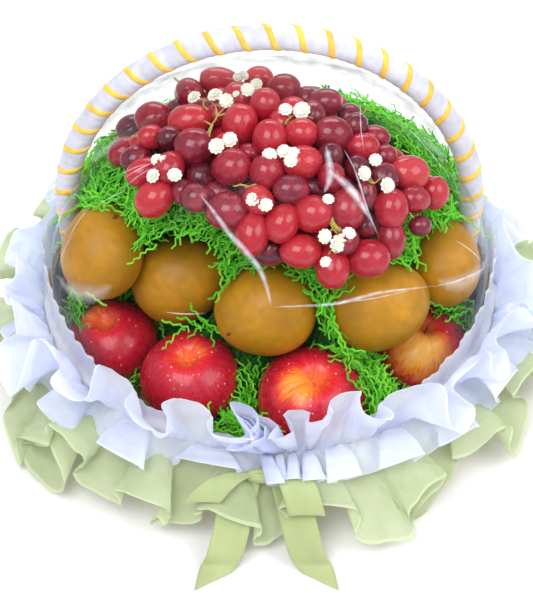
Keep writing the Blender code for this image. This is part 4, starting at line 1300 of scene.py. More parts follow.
class BASKET_OT_kiwis(bpy.types.Operator):
    """Build the five kiwis"""

    bl_idname = "basket.kiwis"
    bl_label = "Kiwis"

    def execute(self, context):
        skin = kiwi_material(context.scene.basket_colours)
        browns = ((0.03, 0.015, 0.008), (0.2, 0.1, 0.03))
        scar = plain_food_material("Kiwi scar", browns, 0.9, 500.0)
        for name in KIWIS:
            make_kiwi(name, skin, scar)
        return {"FINISHED"}


def seen_grapes():
    """Grapes that the reference view shows: [centre, half length, half width, axis, tone]."""
    source = random.Random(5)
    right = Vector((1, 0, 0))
    made = []
    for across, down, length, width, tilt, depth in GRAPES_SEEN:
        guess = seen_on_dome(across, down, 14 * MM)
        scale = (guess - EYE).dot(VIEW_INTO) / FOCAL_PIXELS
        half_width = width * scale * GRAPE_GROWTH
        inset = half_width + GRAPE_GAP + depth * MM
        centre = seen_on_dome(across, down, inset)
        turn = math.radians(tilt)
        axis = right * math.cos(turn) + VIEW_UP * math.sin(turn)
        axis += VIEW_INTO * source.uniform(-0.35, 0.35)
        stretch = max(length / width, 1.06) * source.uniform(1.0, 1.06)
        # Grapes sunk below the outer ones get darker tones: painted shade between the grapes
        tone = source.uniform(0.3, 1.0) if depth < 4 else source.uniform(0.0, 0.45)
        made.append([centre, half_width * stretch, half_width, axis.normalized(), tone])
    return made


def above_bunch(centre):
    """Whether a hidden grape would show beyond the bunch's upper outline in the view."""
    sight = centre - EYE
    into = sight.dot(VIEW_INTO)
    across = PHOTO_WIDTH / 2 + sight.x * FOCAL_PIXELS / into
    down = PHOTO_HEIGHT / 2 - sight.dot(VIEW_UP) * FOCAL_PIXELS / into
    for (left, high), (right, low) in zip(BUNCH_TOP, BUNCH_TOP[1:]):
        if left <= across <= right:
            line = high + (low - high) * (across - left) / (right - left)
            return down < line + HIDDEN_MARGIN
    return True


def hidden_grapes(made):
    """Further grapes under and behind the others, spread evenly over the bunch."""
    source = random.Random(11)
    for index in range(HIDDEN_GRAPES):
        best = None
        for _ in range(30):
            turn = source.uniform(0, math.tau)
            spread = math.radians(60) * math.sqrt(source.random())
            if spread > bunch_reach(turn) - math.radians(2):
                continue
            inset = source.uniform(15, 19) if index % 2 else source.uniform(24, 31)
            centre = on_dome(bunch_direction(spread, turn), inset * MM)
            if above_bunch(centre):
                continue
            room = min((centre - other[0]).length for other in made)
            if best is None or room > best[0]:
                best = (room, centre)
        width = min(source.uniform(*HIDDEN_RADIUS), max(8.5 * MM, best[0] * 0.62))
        axis = scatter(source, 1).normalized()
        tone = source.uniform(0.05, 0.9)
        made.append([best[1], width * 1.16, width, axis, tone])
    return made


def settle_grapes(grapes, seen_count):
    """Push crowded grapes apart, mostly along the view, and keep them under the film."""
    for _ in range(SETTLING_ROUNDS):
        for first in range(len(grapes)):
            for second in range(first + 1, len(grapes)):
                gap = grapes[first][0] - grapes[second][0]
                wanted = (grapes[first][2] + grapes[second][2]) * 0.97
                distance = gap.length
                if distance >= wanted or distance == 0:
                    continue
                push = gap / distance * ((wanted - distance) * 0.3)
                for index, sign in ((first, 1), (second, -1)):
                    shift = push * sign
                    if index < seen_count:
                        sight = (grapes[index][0] - EYE).normalized()
                        along = sight * shift.dot(sight)
                        shift = along + (shift - along) * 0.12
                    grapes[index][0] = grapes[index][0] + shift
        for grape in grapes:
            away = grape[0] - DOME_POLE
            limit = (on_dome(away.normalized(), grape[2] + UNDER_FILM) - DOME_POLE).length
            if away.length > limit:
                grape[0] = DOME_POLE + away * (limit / away.length)
    return grapes


def grape_shapes():
    """A few uneven grapes of unit size, with a tiny dimple at the stem end."""
    shapes = []
    for kind in range(GRAPE_KINDS):
        source = random.Random(kind)
        phase = source.uniform(0, math.tau)
        form = bmesh.new()
        bmesh.ops.create_uvsphere(form, u_segments=22, v_segments=16, radius=1)
        for corner in form.verts:
            along = corner.co.z
            turn = math.atan2(corner.co.y, corner.co.x)
            wide = 1 + 0.03 * along + 0.015 * math.cos(2 * turn + phase)
            corner.co.x *= wide
            corner.co.y *= wide
            corner.co.z -= 0.06 * math.exp(-((1 - along) / 0.03) ** 2) if along > 0 else 0.0
        shapes.append(form_arrays(form))
    return shapes


def turned_to(axis, spin):
    """A turn that lays local Z along an axis, after a spin round it."""
    return axis.to_track_quat("Z", "Y").to_matrix() @ Matrix.Rotation(spin, 3, "Z")


class BASKET_OT_grapes(bpy.types.Operator):
    """Build the bunch of grapes with its stems"""

    bl_idname = "basket.grapes"
    bl_label = "Grapes"

    def execute(self, context):
        source = random.Random(3)
        grapes = seen_grapes()
        seen_count = len(grapes)
        grapes = settle_grapes(hidden_grapes(grapes), seen_count)
        placements = []
        tones = []
        for centre, length, width, axis, tone in grapes:
            turn = turned_to(axis * source.choice((-1, 1)), source.uniform(0, math.tau))
            matrix = Matrix.Translation(centre) @ turn.to_4x4()
            matrix = matrix @ Matrix.Diagonal((width, width, length, 1))
            placements.append((source.randrange(GRAPE_KINDS), matrix))
            tones.append(tone)
        mesh = joined_mesh("grapes", grape_shapes(), placements, tones)
        skin = grape_material(context.scene.basket_colours)
        new_mesh_piece("grapes", mesh, skin, ("grape_bunch",))
        stem = plain_food_material("Grape stem", ((0.2, 0.17, 0.03), (0.5, 0.42, 0.1)), 0.65, 400.0)
        form = bmesh.new()
        for pixels in STEMS_SEEN:
            add_stem(form, pixels, STEM_INSET, STEM_RADIUS)
        add_stem(form, THICK_STEM, THICK_STEM_INSET, THICK_STEM_RADIUS)
        for centre, length, _, axis, _ in grapes[seen_count:]:
            tip = centre + axis * length
            path = smooth_path([tip - axis * 2 * MM, tip + axis * 2 * MM, tip + axis * 5 * MM], 2)
            sweep(form, tube_rings(path, [0.7 * MM] * len(path), 5))
        new_piece("grape_stems", form, stem, ())
        return {"FINISHED"}


def add_stem(form, pixels, inset, thickness):
    """A thin stem through places that the reference view shows."""
    points = [seen_on_dome(across, down, inset) for across, down in pixels]
    path = smooth_path(points, 4)
    source = random.Random(repr(pixels))
    path = [point + scatter(source, 0.3) * MM for point in path]
    radii = [thickness * source.uniform(0.8, 1.3) for _ in path]
    sweep(form, tube_rings(path, radii, 6))


def flower_shape():
    """A small double flower: rings of cupped petals round a tuft."""
    form = bmesh.new()
    for ring, (count, lean, length) in enumerate(((10, 8, 1.0), (9, 34, 0.85), (7, 60, 0.62))):
        for petal in range(count):
            turn = math.tau * (petal + 0.5 * ring) / count
            made = bmesh.ops.create_grid(form, x_segments=3, y_segments=2, size=0.5)["verts"]
            for corner in made:
                out = corner.co.x + 0.5
                rounded = math.sqrt(max(0.0, 1 - (max(out - 0.62, 0.0) / 0.42) ** 2))
                side = corner.co.y * (0.25 + 0.5 * min(out / 0.6, 1.0)) * rounded
                cup = 0.16 * math.sin(math.pi * out) + 0.3 * corner.co.y ** 2
                corner.co = Vector((out * length, side * length, cup * length))
            matrix = Matrix.Rotation(turn, 3, "Z") @ Matrix.Rotation(-math.radians(lean), 3, "Y")
            bmesh.ops.rotate(form, verts=made, matrix=matrix)
            bmesh.ops.translate(form, verts=made, vec=(0, 0, 0.12 * ring))
    made = bmesh.ops.create_icosphere(form, subdivisions=1, radius=0.26)["verts"]
    bmesh.ops.translate(form, verts=made, vec=(0, 0, 0.42))
    return form_arrays(form)


class BASKET_OT_flowers(bpy.types.Operator):
    """Build the small white flowers on the grapes"""

    bl_idname = "basket.flowers"
    bl_label = "Flowers"

    def execute(self, context):
        source = random.Random(21)
        placements = []
        for across, down, size in FLOWERS_SEEN:
            centre = seen_on_dome(across, down, FLOWER_INSET)
            outward = (centre - DOME_POLE).normalized() * 0.6 - VIEW_INTO * 0.6
            outward += scatter(source, 0.4)
            turn = turned_to(outward.normalized(), source.uniform(0, math.tau))
            sunk = centre - outward.normalized() * FLOWER_SINK
            matrix = Matrix.Translation(sunk) @ turn.to_4x4()
            placements.append((0, matrix @ Matrix.Scale(FLOWER_SIZE * size, 4)))
        mesh = joined_mesh("flowers", [flower_shape()], placements, [0.5] * len(placements))
        white = plain_food_material("Petals", ((0.78, 0.76, 0.6), (0.93, 0.92, 0.84)), 0.6, 700.0)
        new_mesh_piece("flowers", mesh, white, ())
        return {"FINISHED"}


def strip_shapes(width):
    """Crinkled paper strips of several bends, lying along X with Z outward."""
    shapes = []
    for kind in range(STRIP_KINDS):
        source = random.Random(100 + kind)
        steps = source.randint(6, 9)
        heading = source.uniform(-0.5, 0.5)
        curl = source.uniform(-0.14, 0.14)
        point = Vector((0, 0, 0))
        path = [point]
        for step in range(steps):
            zigzag = 0.42 if step % 2 else -0.42
            turn = heading + zigzag * source.uniform(0.6, 1.5)
            lift = source.uniform(-0.35, 0.35) + (0.25 if step % 2 else -0.25)
            direction = Vector((math.cos(turn), math.sin(turn), lift)).normalized()
            point = point + direction * source.uniform(3.0, 5.2) * MM
            heading += curl
            path.append(point)
        middle = sum(path, Vector((0, 0, 0))) / len(path)
        path = [place - middle for place in path]
        rings = []
        for index, place in enumerate(path):
            along = heading_at(path, index)
            side = along.cross(Vector((0, 0.25 * math.sin(index), 1))).normalized() * (width / 2)
            lift = side.cross(along).normalized() * (0.35 * MM)
            rings.append([place - side - lift, place + side - lift, place + lift])
        form = bmesh.new()
        sweep(form, rings)
        face_outward(form)
        shapes.append(form_arrays(form))
    return shapes


def filling_inset(theta, height):
    """How far the top of the paper filling lies under the film."""
    front = max(0.0, -math.sin(theta))
    return (7 + 24 * ease((height - 120 * MM) / (75 * MM)) + 44 * front ** 0.8) * MM


def mound_strip_place(source):
    """A place and outward direction on the mound beside and behind the fruit."""
    theta = source.uniform(-math.pi, math.pi)
    height = source.uniform(45, 186) * MM
    inset = filling_inset(theta, height) + source.uniform(-3, 11) * MM
    radius = radius_at(theta, height + 4 * MM) - inset
    if radius < 15 * MM:
        return None
    place = Vector((radius * math.cos(theta), radius * math.sin(theta), height))
    outward = Vector((math.cos(theta), math.sin(theta), 0.3 + 2 * (height / FILM_TOP) ** 3))
    if from_bunch(place) < math.radians(-7):
        return None
    return place, outward.normalized()


def gap_strip_place(source):
    """A place close round a fruit, in the gaps between it and its neighbours."""
    _, centre, turn, sizes = source.choice(FRUIT)
    local = Vector([source.gauss(0, 1) for _ in range(3)]).normalized()
    lift = source.uniform(0.8, 9) * MM
    place = Vector([local[axis] * (sizes[axis] + lift) for axis in range(3)])
    place = centre + turn @ place
    outward = (place - DOME_POLE + Vector((0, 0, 50 * MM))).normalized()
    theta = math.atan2(place.y, place.x)
    if place.z < 22 * MM or place.y > 20 * MM:
        return None
    if math.hypot(place.x, place.y) < radius_at(theta, place.z) - 75 * MM:
        return None
    if from_bunch(place) < math.radians(-4) and place.z > 110 * MM:
        return None
    if hides_fruit(place, -VIEW_INTO, 0.95):
        return None
    return place, (outward * 0.7 - VIEW_INTO * 0.6).normalized()


def low_strip_place(source):
    """A place in front of the apples' feet, inside the rim."""
    theta = FRONT + source.uniform(-1.2, 1.2)
    radius = source.uniform(95, 152) * MM
    height = source.uniform(18, 70) * MM
    place = Vector((radius * math.cos(theta), radius * math.sin(theta), height))
    return place, Vector((0.3 * math.cos(theta), 0.3 * math.sin(theta), 1)).normalized()


def hides_fruit(point, direction, margin, reach=1.0):
    """Whether a fruit lies behind a point, seen along a direction, within a reach."""
    for _, centre, turn, sizes in FRUIT:
        away = in_sizes(turn.transposed() @ (point - centre), sizes)
        ahead = in_sizes(turn.transposed() @ direction, sizes)
        nearest = -away.dot(ahead) / ahead.dot(ahead)
        if 0 < nearest < reach and (away + ahead * nearest).length < margin:
            return True
    return False


def strip_fits(place, outward, heading, reach, clear):
    """The strip's direction if it stays inside the film and off the fruit, else None."""
    side = outward.orthogonal().normalized()
    along = side * math.cos(heading) + outward.cross(side) * math.sin(heading)
    for share in (-1, -0.5, 0, 0.5, 1):
        point = place + along * (reach * share)
        if not inside_film(point + outward * 1.5 * MM) or fruit_gap(point) < FRUIT_CLEAR:
            return None
        from_leg = abs(abs(point.x) - HANDLE_RADIUS)
        if abs(point.y) < HANDLE_CLEAR and from_leg < HANDLE_CLEAR:
            return None
        if point.z < RIM_HEIGHT and math.hypot(point.x, point.y) > TUB_RADIUS - RIM_CLEAR:
            return None
    for share, margin in ((-0.8, 1.0), (0, 0.86), (0.8, 1.0)):
        point = place + along * (reach * share)
        if point.y < 30 * MM and hides_fruit(point, VIEW_INTO, margin * clear):
            return None
        if hides_fruit(point, (DOME_POLE - point).normalized(), margin * clear, FRUIT_REACH):
            return None
    return along


class BASKET_OT_paper(bpy.types.Operator):
    """Build the crinkled paper strips over a dark core of painted shade"""

    bl_idname = "basket.paper"
    bl_label = "Shredded paper"

    def execute(self, context):
        sizes = context.scene.basket_sizes
        source = random.Random(77)
        shapes = strip_shapes(sizes.strip_width)
        placements = []
        tones = []
        tries = 0
        while len(placements) < sizes.strips and tries < sizes.strips * TRIES_PER_STRIP:
            tries += 1
            chooser = mound_strip_place if source.random() < MOUND_SHARE else gap_strip_place
            if source.random() < LOW_SHARE:
                chooser = low_strip_place
            found = chooser(source)
            if not found:
                continue
            place, outward = found
            clear = STRIP_STRAY if source.random() < STRAY_SHARE else STRIP_CLEAR
            along = strip_fits(place, outward, source.uniform(0, math.tau), STRIP_REACH, clear)
            if not along:
                continue
            up = (outward + scatter(source, 0.3)).normalized()
            side = up.cross(along).normalized()
            turn = Matrix((side.cross(up), side, up)).transposed()
            placements.append((source.randrange(len(shapes)),
                               Matrix.Translation(place) @ turn.to_4x4()))
            tones.append(source.uniform(0.2, 1.0))
        mesh = joined_mesh("paper_strips", shapes, placements, tones)
        paper = paper_material(context.scene.basket_colours)
        new_mesh_piece("paper_strips", mesh, paper, ("paper_shred",), smooth=False)
        # A dark sheet of painted shade under the strips
        form = bmesh.new()
        bmesh.ops.create_icosphere(form, subdivisions=6, radius=1)
        for corner in form.verts:
            corner.co = core_place(corner.co.normalized())
        new_piece("paper_shade_core", form, core_material(), ())
        return {"FINISHED"}


def core_place(direction):
    """Place of the dark core of painted shade in a direction from the dome's pole."""
    theta = math.atan2(direction.y, direction.x)
    surface = on_dome(direction, 0)
    inset = filling_inset(theta, surface.z) + CORE_DEPTH
    lump = math.sin(9 * direction.x + 4) * math.sin(11 * direction.y) * math.sin(8 * direction.z)
    place = on_dome(direction, inset + 4 * MM * lump)
    floor = TUB_FLOOR + 3 * MM
    wide = TUB_BASE_RADIUS - TUB_WALL - 8 * MM
    if place.z < FILM_SPRING:
        across = min(math.hypot(place.x, place.y), FILM_RADIUS - inset)
        share = ease((place.z - floor) / (60 * MM))
        across = min(across, wide + (FILM_RADIUS - inset - wide) * share)
        place.x = across * math.cos(theta)
        place.y = across * math.sin(theta)
        place.z = max(place.z, floor)
    under_bunch = ease((math.radians(8) - from_bunch(place)) / math.radians(20))
    if place.z > FILM_SPRING:
        place = place + (DOME_POLE - place).normalized() * (10 * MM * under_bunch)
    reach = (place - DOME_POLE).length
    outward = (place - DOME_POLE) / reach
    clear = 12 * MM
    while clear < reach:
        point = DOME_POLE + outward * clear
        if fruit_gap(point) < 2 * MM or hides_fruit(point, VIEW_INTO, 1.0):
            break
        clear += 3 * MM
    return DOME_POLE + outward * min(clear, reach)


def film_place(theta, height):
    """Point of the film with its soft dents."""
    radius = radius_at(theta, height)
    share = ease((height - FILM_BOTTOM) / (60 * MM))
    dent = 0.6 * math.sin(9 * theta + 60 * height) + 0.4 * math.sin(23 * theta - 35 * height)
    radius -= (0.6 + dent * 0.5) * MM * share
    return Vector((radius * math.cos(theta), radius * math.sin(theta), height))


class BASKET_OT_film(bpy.types.Operator):
    """Build the clear film dome with its creases, painted glints and a pale band of doubled film
    and painted sheen at each side
    """

    bl_idname = "basket.film"
    bl_label = "Film"

    def execute(self, context):
        rise = FILM_TOP - FILM_SPRING

        def place(round_share, up_share):
            theta = math.tau * round_share
            if up_share < SPRING_SHARE:
                height = FILM_BOTTOM + (FILM_SPRING - FILM_BOTTOM) * up_share / SPRING_SHARE
            else:
                turn = math.pi / 2 * (up_share - SPRING_SHARE) / (1 - SPRING_SHARE)
                height = FILM_SPRING + rise * math.sin(turn)
            return film_place(theta, min(height, FILM_TOP - 0.1 * MM))

        form = cloth_grid(240, 60, place, True)
        notched = []
        for face in form.faces:
            centre = face.calc_center_median()
            from_leg = abs(math.remainder(math.atan2(centre.y, centre.x), math.pi))
            if from_leg < NOTCH_HALF_ANGLE and centre.z < NOTCH_TOP:
                notched.append(face)
        bmesh.ops.delete(form, geom=notched, context="FACES")
        bmesh.ops.holes_fill(form, edges=[
            edge for edge in form.edges
            if edge.is_boundary and edge.verts[0].co.z > FILM_TOP - 3 * MM], sides=0)
        face_outward(form)
        new_piece("film_dome", form, film_material(), ("film",))
        # Folds of the film with painted glints of lamp light
        form = bmesh.new()
        for pixels, width in CREASES_AND_GLINTS_SEEN:
            add_crease(form, pixels, width * MM, CREASE_AND_GLINT_COVER)
        new_piece("film_creases_and_glints", form, crease_material(), ())
        # Pale bands of doubled film with a painted sheen of light at the film's edges
        form = bmesh.new()
        for pixels, width in HAZE_AND_SHEEN_SEEN:
            add_crease(form, pixels, width * MM, HAZE_AND_SHEEN_COVER)
        new_piece("film_haze_and_sheen", form, haze_material(), ())
        return {"FINISHED"}


def add_crease(form, pixels, width, cover):
    """A tapered strip lying on the film along places that the reference view shows, for folds,
    painted glints and pale bands.
    """
    fade = form.verts.layers.float.get("fade") or form.verts.layers.float.new("fade")
    path = smooth_path([seen_on_dome(across, down, -0.3 * MM) for across, down in pixels], 5)
    rings = []
    fades = []
    for index, point in enumerate(path):
        share = index / (len(path) - 1)
        outward = (point - DOME_POLE).normalized()
        side = heading_at(path, index).cross(outward).normalized()
        taper = width * (0.12 + math.sin(math.pi * share) ** 0.8)
        ring = [point - side * taper, point + outward * 0.25 * MM, point + side * taper]
        rings.append(ring)
        strength = math.sin(math.pi * min(max(share, 0.04), 0.96)) ** 0.5
        fades.append((0.0, cover * strength, 0.0))
    first = len(form.verts)
    sweep(form, rings, capped=False, closed_section=False)
    form.verts.ensure_lookup_table()
    made = list(form.verts)[first:]
    for corner, value in zip(made, [value for ring in fades for value in ring]):
        corner[fade] = value


# Cloth


def swing_terms(seed):
    """Sets of waves round the rim for the unevenness of a frill: slow ones and quick ones."""
    source = random.Random(seed)
    sets = []
    for counts in ((1, 2, 3, 5), (7, 10, 13, 17), (5, 9, 14, 19), (3, 6, 8, 11)):
        sets.append([(count, source.uniform(0, math.tau), source.uniform(0.4, 1.0))
                     for count in counts])
    return sets


def uneven(theta, terms):
    """A random swing round the rim, about -1 to 1."""
    return sum(math.sin(count * theta + start) * size for count, start, size in terms) / 1.7


def folded(phase, crisp):
    """A wave whose folds sharpen from round to creased."""
    wave = math.sin(phase)
    return (1 - crisp) * wave + crisp * math.asin(0.96 * wave) / math.asin(0.96)


def frill_point(theta, share, shape):
    """Point of a frill: share runs from its gather to its free edge."""
    slow, quick, cut, tip = [uneven(theta, terms) for terms in shape["terms"]]
    bunched = math.exp(-(((theta - PLEAT_MIDDLE) / PLEAT_SPAN) ** 2)) * shape["bunching"]
    under_bow = math.exp(-(((theta - BOW_MIDDLE) / BOW_SPAN) ** 2)) * (1 - shape["bunching"])
    strength = (1 + 0.42 * quick) * (1 - 0.45 * bunched) * (1 - 0.5 * under_bow)
    phase = shape["waves"] * theta + 1.7 * slow
    phase += math.tau * round(3 * shape["bunching"]) * ease(
        0.5 + (theta - PLEAT_MIDDLE) / (2.4 * PLEAT_SPAN))
    spread = share ** 0.7
    lean = shape["lean"](theta) + shape["droop"] * share + 0.2 * tip
    length = shape["length"](theta) * (1 + 0.18 * cut) * (1 - 0.18 * bunched)
    out = GATHER_RADIUS + 0.8 * MM + length * share * math.cos(lean)
    up = length * share * math.sin(lean)
    normal = shape["swing"] * strength * spread * folded(phase, 0.15)
    place = Vector((theta * 14, share * 2.2, shape["waves"]))
    crumple = (0.3 - abs(noise.noise(place))) * CRUMPLE * share
    place = Vector((theta * 34, share * 4.5, shape["waves"] + 0.5))
    crumple += (0.3 - abs(noise.noise(place))) * CREASING * share * (1.6 - shape["bunching"])
    pleats = PLEAT_DEPTH * math.sin(4 * phase + 2 * slow) * (1 - share) ** 1.6 * min(1.0, share * 9)
    normal += crumple + pleats
    lift = lean if shape["lift"] is None else shape["lift"]
    out += -math.sin(lift) * normal
    up += math.cos(lift) * normal
    sideways = -shape["overlap"] * strength * spread * math.sin(2 * phase + 0.9 * cut)
    sideways += SLANT * share * cut
    around = theta + sideways / out
    return Vector((out * math.cos(around), out * math.sin(around), shape["height"] + up))


def along_rim(knots, theta):
    """Lean and length of a frill at an angle round the rim."""
    angle = abs(math.degrees(math.remainder(theta - FRONT, math.tau)))
    for (start, *low), (end, *high) in zip(knots, knots[1:]):
        if angle <= end:
            share = ease((angle - start) / (end - start))
            return [first + (last - first) * share for first, last in zip(low, high)]
    return list(knots[-1][1:])


def lining_point(along, share):
    """Point of the cloth that lines the rim and stands against the film."""
    theta = math.tau * along
    front = max(0.0, -math.sin(theta)) ** 2
    top = LINING_TOP + LINING_RISE * (1 - front) * (1 - 0.7 * max(0.0, math.sin(theta)))
    path = (*LINING_PATH, (LINING_RADIUS, top))
    place = share * (len(path) - 1)
    index = min(int(place), len(path) - 2)
    radius, height = [
        low + (high - low) * (place - index) for low, high in zip(path[index], path[index + 1])]
    radius += (0.9 * math.sin(64 * theta + 4 * math.sin(5 * theta))
               + 0.4 * math.sin(131 * theta)) * share
    pinch = LEG_PINCH * math.exp(-((math.remainder(theta, math.pi) / LEG_PINCH_WIDTH) ** 2))
    radius += 2.4 * pinch / LEG_PINCH
    return Vector((radius * math.cos(theta), radius * math.sin(theta), height)) * MM


def add_gathered(name, form, material, replaced):
    face_outward(form)
    area = sum(face.calc_area() for face in form.faces)
    piece = new_piece(name, form, material, replaced)


def frill_grid(shape, columns, rows):
    """The grid of a frill, kept off the table."""
    form = cloth_grid(columns, rows, lambda along, across: frill_point(
        math.tau * along - math.pi, across, shape), True)
    for corner in form.verts:
        corner.co.z = max(corner.co.z, HEM_CLEAR)
    return form


class BASKET_OT_white_ruffle(bpy.types.Operator):
    """Build the white ruffle, one frill up and one frill out"""

    bl_idname = "basket.white_ruffle"
    bl_label = "White ruffle"

    def execute(self, context):
        sizes = context.scene.basket_sizes
        colour = context.scene.basket_colours.white_cloth
        # The second colour is painted shade, mixed into the white in blotches
        cloth = cloth_material("White cloth", colour, (0.72, 0.77, 1.0), 0.82, 0.35)

        def lower_length(theta):
            over_bow = math.exp(-(((theta - BOW_GAP) / BOW_GAP_SPAN) ** 2))
            return (along_rim(LOWER_FRILL, theta)[1] - 13 * over_bow) * MM

        common = {
            "bunching": 1, "overlap": sizes.white_overlap, "height": WHITE_GATHER, "lift": None,
        }
        upper = {
            **common, "terms": swing_terms(31), "waves": sizes.white_waves,
            "lean": lambda theta: math.radians(along_rim(UPPER_FRILL, theta)[0]),
            "droop": math.radians(-12), "swing": sizes.white_fold,
            "length": lambda theta: along_rim(UPPER_FRILL, theta)[1] * MM,
        }
        lower = {
            **common, "terms": swing_terms(47), "waves": sizes.white_waves + 1,
            "lean": lambda theta: math.radians(along_rim(LOWER_FRILL, theta)[0]),
            "droop": math.radians(-40), "swing": sizes.white_fold * 0.8,
            "length": lower_length,
        }
        form = frill_grid(upper, 1100, 18)
        add_gathered("white_frill_upper", form, cloth, ("white_ruffle",))
        form = frill_grid(lower, 1100, 14)
        add_gathered("white_frill_lower", form, cloth, ())
        form = cloth_grid(900, 14, lining_point, True)
        add_gathered("white_lining", form, cloth, ())
        return {"FINISHED"}


def side_lift(theta):
    """Share of the hem's rise: the cloth stands out at the sides and droops elsewhere."""
    depth = math.sin(theta)
    return ease((depth + 0.55) / 0.8) * (1 - 0.8 * ease((depth - 0.6) / 0.4))


class BASKET_OT_green_ruffle(bpy.types.Operator):
    """Build the green ruffle in deep flutes down to the table"""

    bl_idname = "basket.green_ruffle"
    bl_label = "Green ruffle"

    def execute(self, context):
        sizes = context.scene.basket_sizes
        colour = context.scene.basket_colours.green_cloth
        # The second colour is painted shade, mixed into the green in blotches
        cloth = cloth_material("Green cloth", colour, (0.47, 0.55, 0.31), 0.86, 0.3)
        shape = {
            "terms": swing_terms(63), "waves": sizes.green_waves,
            "lean": lambda theta: math.radians(-20 + 26 * side_lift(theta)),
            "droop": math.radians(-12), "swing": sizes.green_fold, "bunching": 0,
            "overlap": sizes.green_overlap, "height": GREEN_GATHER, "lift": GREEN_LIFT,
            "length": lambda theta: (47 - 7 * side_lift(theta)) * MM,
        }
        form = frill_grid(shape, 1200, 18)
        add_gathered(
            "green_frill", form, cloth, ("green_ruffle",))
        return {"FINISHED"}


def on_slope(across, down, lift):
    """Point in front of the green ruffle: across, down its slope and off its surface."""
    slope = Vector((0, GATHER_RADIUS - GREEN_HEM_RADIUS, GREEN_HEM - GREEN_GATHER))
    slope.normalize()
    normal = Vector((0, slope.z, -slope.y))
    return Vector((across, KNOT.y, KNOT.z)) + slope * down + normal * lift


def add_ribbon(name, path, steps, material, replaced=(), point_side=0):
    """A satin ribbon along a path, gently cupped."""
    curve = smooth_path([Vector(point) for point in path], steps)
    last = len(curve) - 1

    def place(along, across):
        position = min(along * last, last - 1e-6)
        index = int(position)
        point = curve[index].lerp(curve[index + 1], position - index)
        ahead = curve[min(index + 2, last)] - curve[max(index - 1, 0)]
        side = Vector((1, 0, 0))
        outward = ahead.cross(side).normalized()
        offset = (across - 0.5) * RIBBON_WIDTH
        cup = (0.25 - (across - 0.5) ** 2) * 2.2 * MM
        made = point + side * offset - outward * cup
        if point_side:
            share = across if point_side > 0 else 1 - across
            made.y -= TAIL_POINT * share * ease((along - 0.8) / 0.2)
        return made

    form = cloth_grid(60, 12, place, False)
    face_outward(form)
    area = sum(face.calc_area() for face in form.faces)
    piece = new_piece(name, form, material, replaced)
    shell = piece.modifiers.new("Thickness", "SOLIDIFY")
    shell.thickness = RIBBON_THICKNESS
    shell.offset = 0


class BASKET_OT_bow(bpy.types.Operator):
    """Build the satin bow: knot, two loops and two tails"""

    bl_idname = "basket.bow"
    bl_label = "Bow"

    def execute(self, context):
        satin = satin_material(context.scene.basket_colours)
        replaced = ("bow",)
        for name, (start, tip, share) in LOOPS.items():
            path = []
            for down, lift in LOOP_PATH:
                across = start + (tip - start) * math.sqrt(down / LOOP_PATH[4][0])
                path.append(on_slope(across * MM, share * down * MM, lift * MM))
            add_ribbon(name, path, 10, satin, replaced)
            replaced = ()
        for name, (start, end) in TAILS.items():
            path = [on_slope(0, down * MM, lift * MM) for down, lift in TAIL_ON_CLOTH]
            path += [Vector((0, y * MM, z * MM)) for y, z in TAIL_TO_TABLE]
            for index, point in enumerate(path):
                point.x = (start + (end - start) * index / (len(path) - 1)) * MM
            add_ribbon(name, path, 12, satin, (), 1 if end > 0 else -1)
        form = bmesh.new()
        bmesh.ops.create_uvsphere(form, u_segments=32, v_segments=20, radius=1)
        for corner in form.verts:
            crinkle = 1 + 0.12 * math.sin(9 * math.atan2(corner.co.z, corner.co.y))
            corner.co.x *= KNOT_HALF_LENGTH
            corner.co.y *= KNOT_HALF_WIDTH * crinkle
            corner.co.z *= KNOT_HALF_WIDTH * crinkle
        bmesh.ops.scale(form, vec=(MM, MM, MM), verts=form.verts)
        bmesh.ops.translate(form, vec=on_slope(KNOT.x, KNOT_DOWN, KNOT_LIFT), verts=form.verts)
        new_piece("bow_knot", form, satin, ())
        return {"FINISHED"}


class BASKET_OT_tub(bpy.types.Operator):
    """Give the tub its cane finish"""

    bl_idname = "basket.tub"
    bl_label = "Tub"

    def execute(self, context):
        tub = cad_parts["basket"]
        tub.data.materials.clear()
        tub.data.materials.append(tub_material())
        return {"FINISHED"}


# Stage


def add_light(name, place, target, size, power, colour):
    """A soft square lamp aimed at a point."""
    data = bpy.data.lights.new(name, "AREA")
    data.shape = "RECTANGLE"
    data.size, data.size_y = size
    data.energy = power
    data.color = colour
    lamp = bpy.data.objects.new(name, data)
    bpy.context.scene.collection.objects.link(lamp)
    lamp.location = place
    lamp.rotation_mode = "QUATERNION"
    lamp.rotation_quaternion = (Vector(target) - Vector(place)).to_track_quat("-Z", "Y")


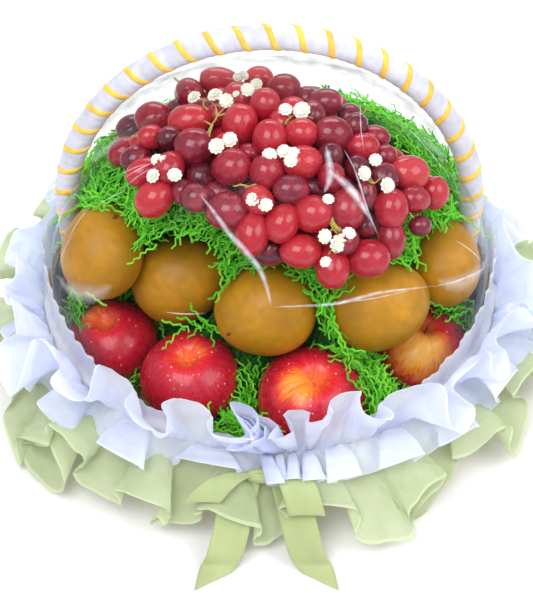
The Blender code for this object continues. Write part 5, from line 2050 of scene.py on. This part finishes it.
class BASKET_OT_stage(bpy.types.Operator):
    """Build the pale floor, the lights and the camera"""

    bl_idname = "basket.stage"
    bl_label = "Stage"

    def execute(self, context):
        scene = context.scene
        form = bmesh.new()
        bmesh.ops.create_grid(form, x_segments=2, y_segments=2, size=4)
        mesh = bpy.data.meshes.new("floor")
        form.to_mesh(mesh)
        form.free()
        material, _, shader = new_material("Floor", 0.9)
        shader.inputs["Base Color"].default_value = FLOOR_COLOUR
        mesh.materials.append(material)
        floor = bpy.data.objects.new("floor", mesh)
        scene.collection.objects.link(floor)
        world = bpy.data.worlds.new("Studio")
        world.use_nodes = True
        background = world.node_tree.nodes["Background"]
        background.inputs["Color"].default_value = WORLD_COLOUR
        background.inputs["Strength"].default_value = WORLD_STRENGTH
        scene.world = world
        for lamp in LAMPS:
            add_light(*lamp)
        scene.view_settings.view_transform = "Standard"
        data = bpy.data.cameras.new("Camera")
        data.lens = LENS
        data.sensor_width = SENSOR
        camera = bpy.data.objects.new("Camera", data)
        scene.collection.objects.link(camera)
        camera.location = EYE
        camera.rotation_euler = (math.pi / 2 - VIEW_ELEVATION, 0, 0)
        scene.camera = camera
        return {"FINISHED"}


class BASKET_PT_panel(bpy.types.Panel):
    """Sizes, colours and steps of the basket"""

    bl_label = "Fruit Gift Basket"
    bl_idname = "BASKET_PT_panel"
    bl_space_type = "VIEW_3D"
    bl_region_type = "UI"
    bl_category = "Fruit Basket"

    def draw(self, context):
        for group in (context.scene.basket_colours, context.scene.basket_sizes):
            for name in group.__annotations__:
                self.layout.prop(group, name)
        for step in STEPS:
            self.layout.operator(step.bl_idname)


STEPS = (
    BASKET_OT_stage, BASKET_OT_tub, BASKET_OT_handle, BASKET_OT_apples, BASKET_OT_kiwis,
    BASKET_OT_grapes, BASKET_OT_flowers, BASKET_OT_paper, BASKET_OT_white_ruffle,
    BASKET_OT_green_ruffle, BASKET_OT_bow, BASKET_OT_film,
)
CLASSES = (BasketColours, BasketSizes, *STEPS, BASKET_PT_panel)


def register():
    """Register the classes and their properties."""
    for item in CLASSES:
        bpy.utils.register_class(item)
    bpy.types.Scene.basket_colours = bpy.props.PointerProperty(type=BasketColours)
    bpy.types.Scene.basket_sizes = bpy.props.PointerProperty(type=BasketSizes)


def unregister():
    """Remove the properties and the classes."""
    del bpy.types.Scene.basket_colours
    del bpy.types.Scene.basket_sizes
    for item in reversed(CLASSES):
        bpy.utils.unregister_class(item)


def main():
    """Build every piece."""
    register()
    speckle_group()
    patches_group()
    weave_group()
    for step in STEPS:
        family, name = step.bl_idname.split(".")
        getattr(getattr(bpy.ops, family), name)()


if __name__ == "__main__":
    main()
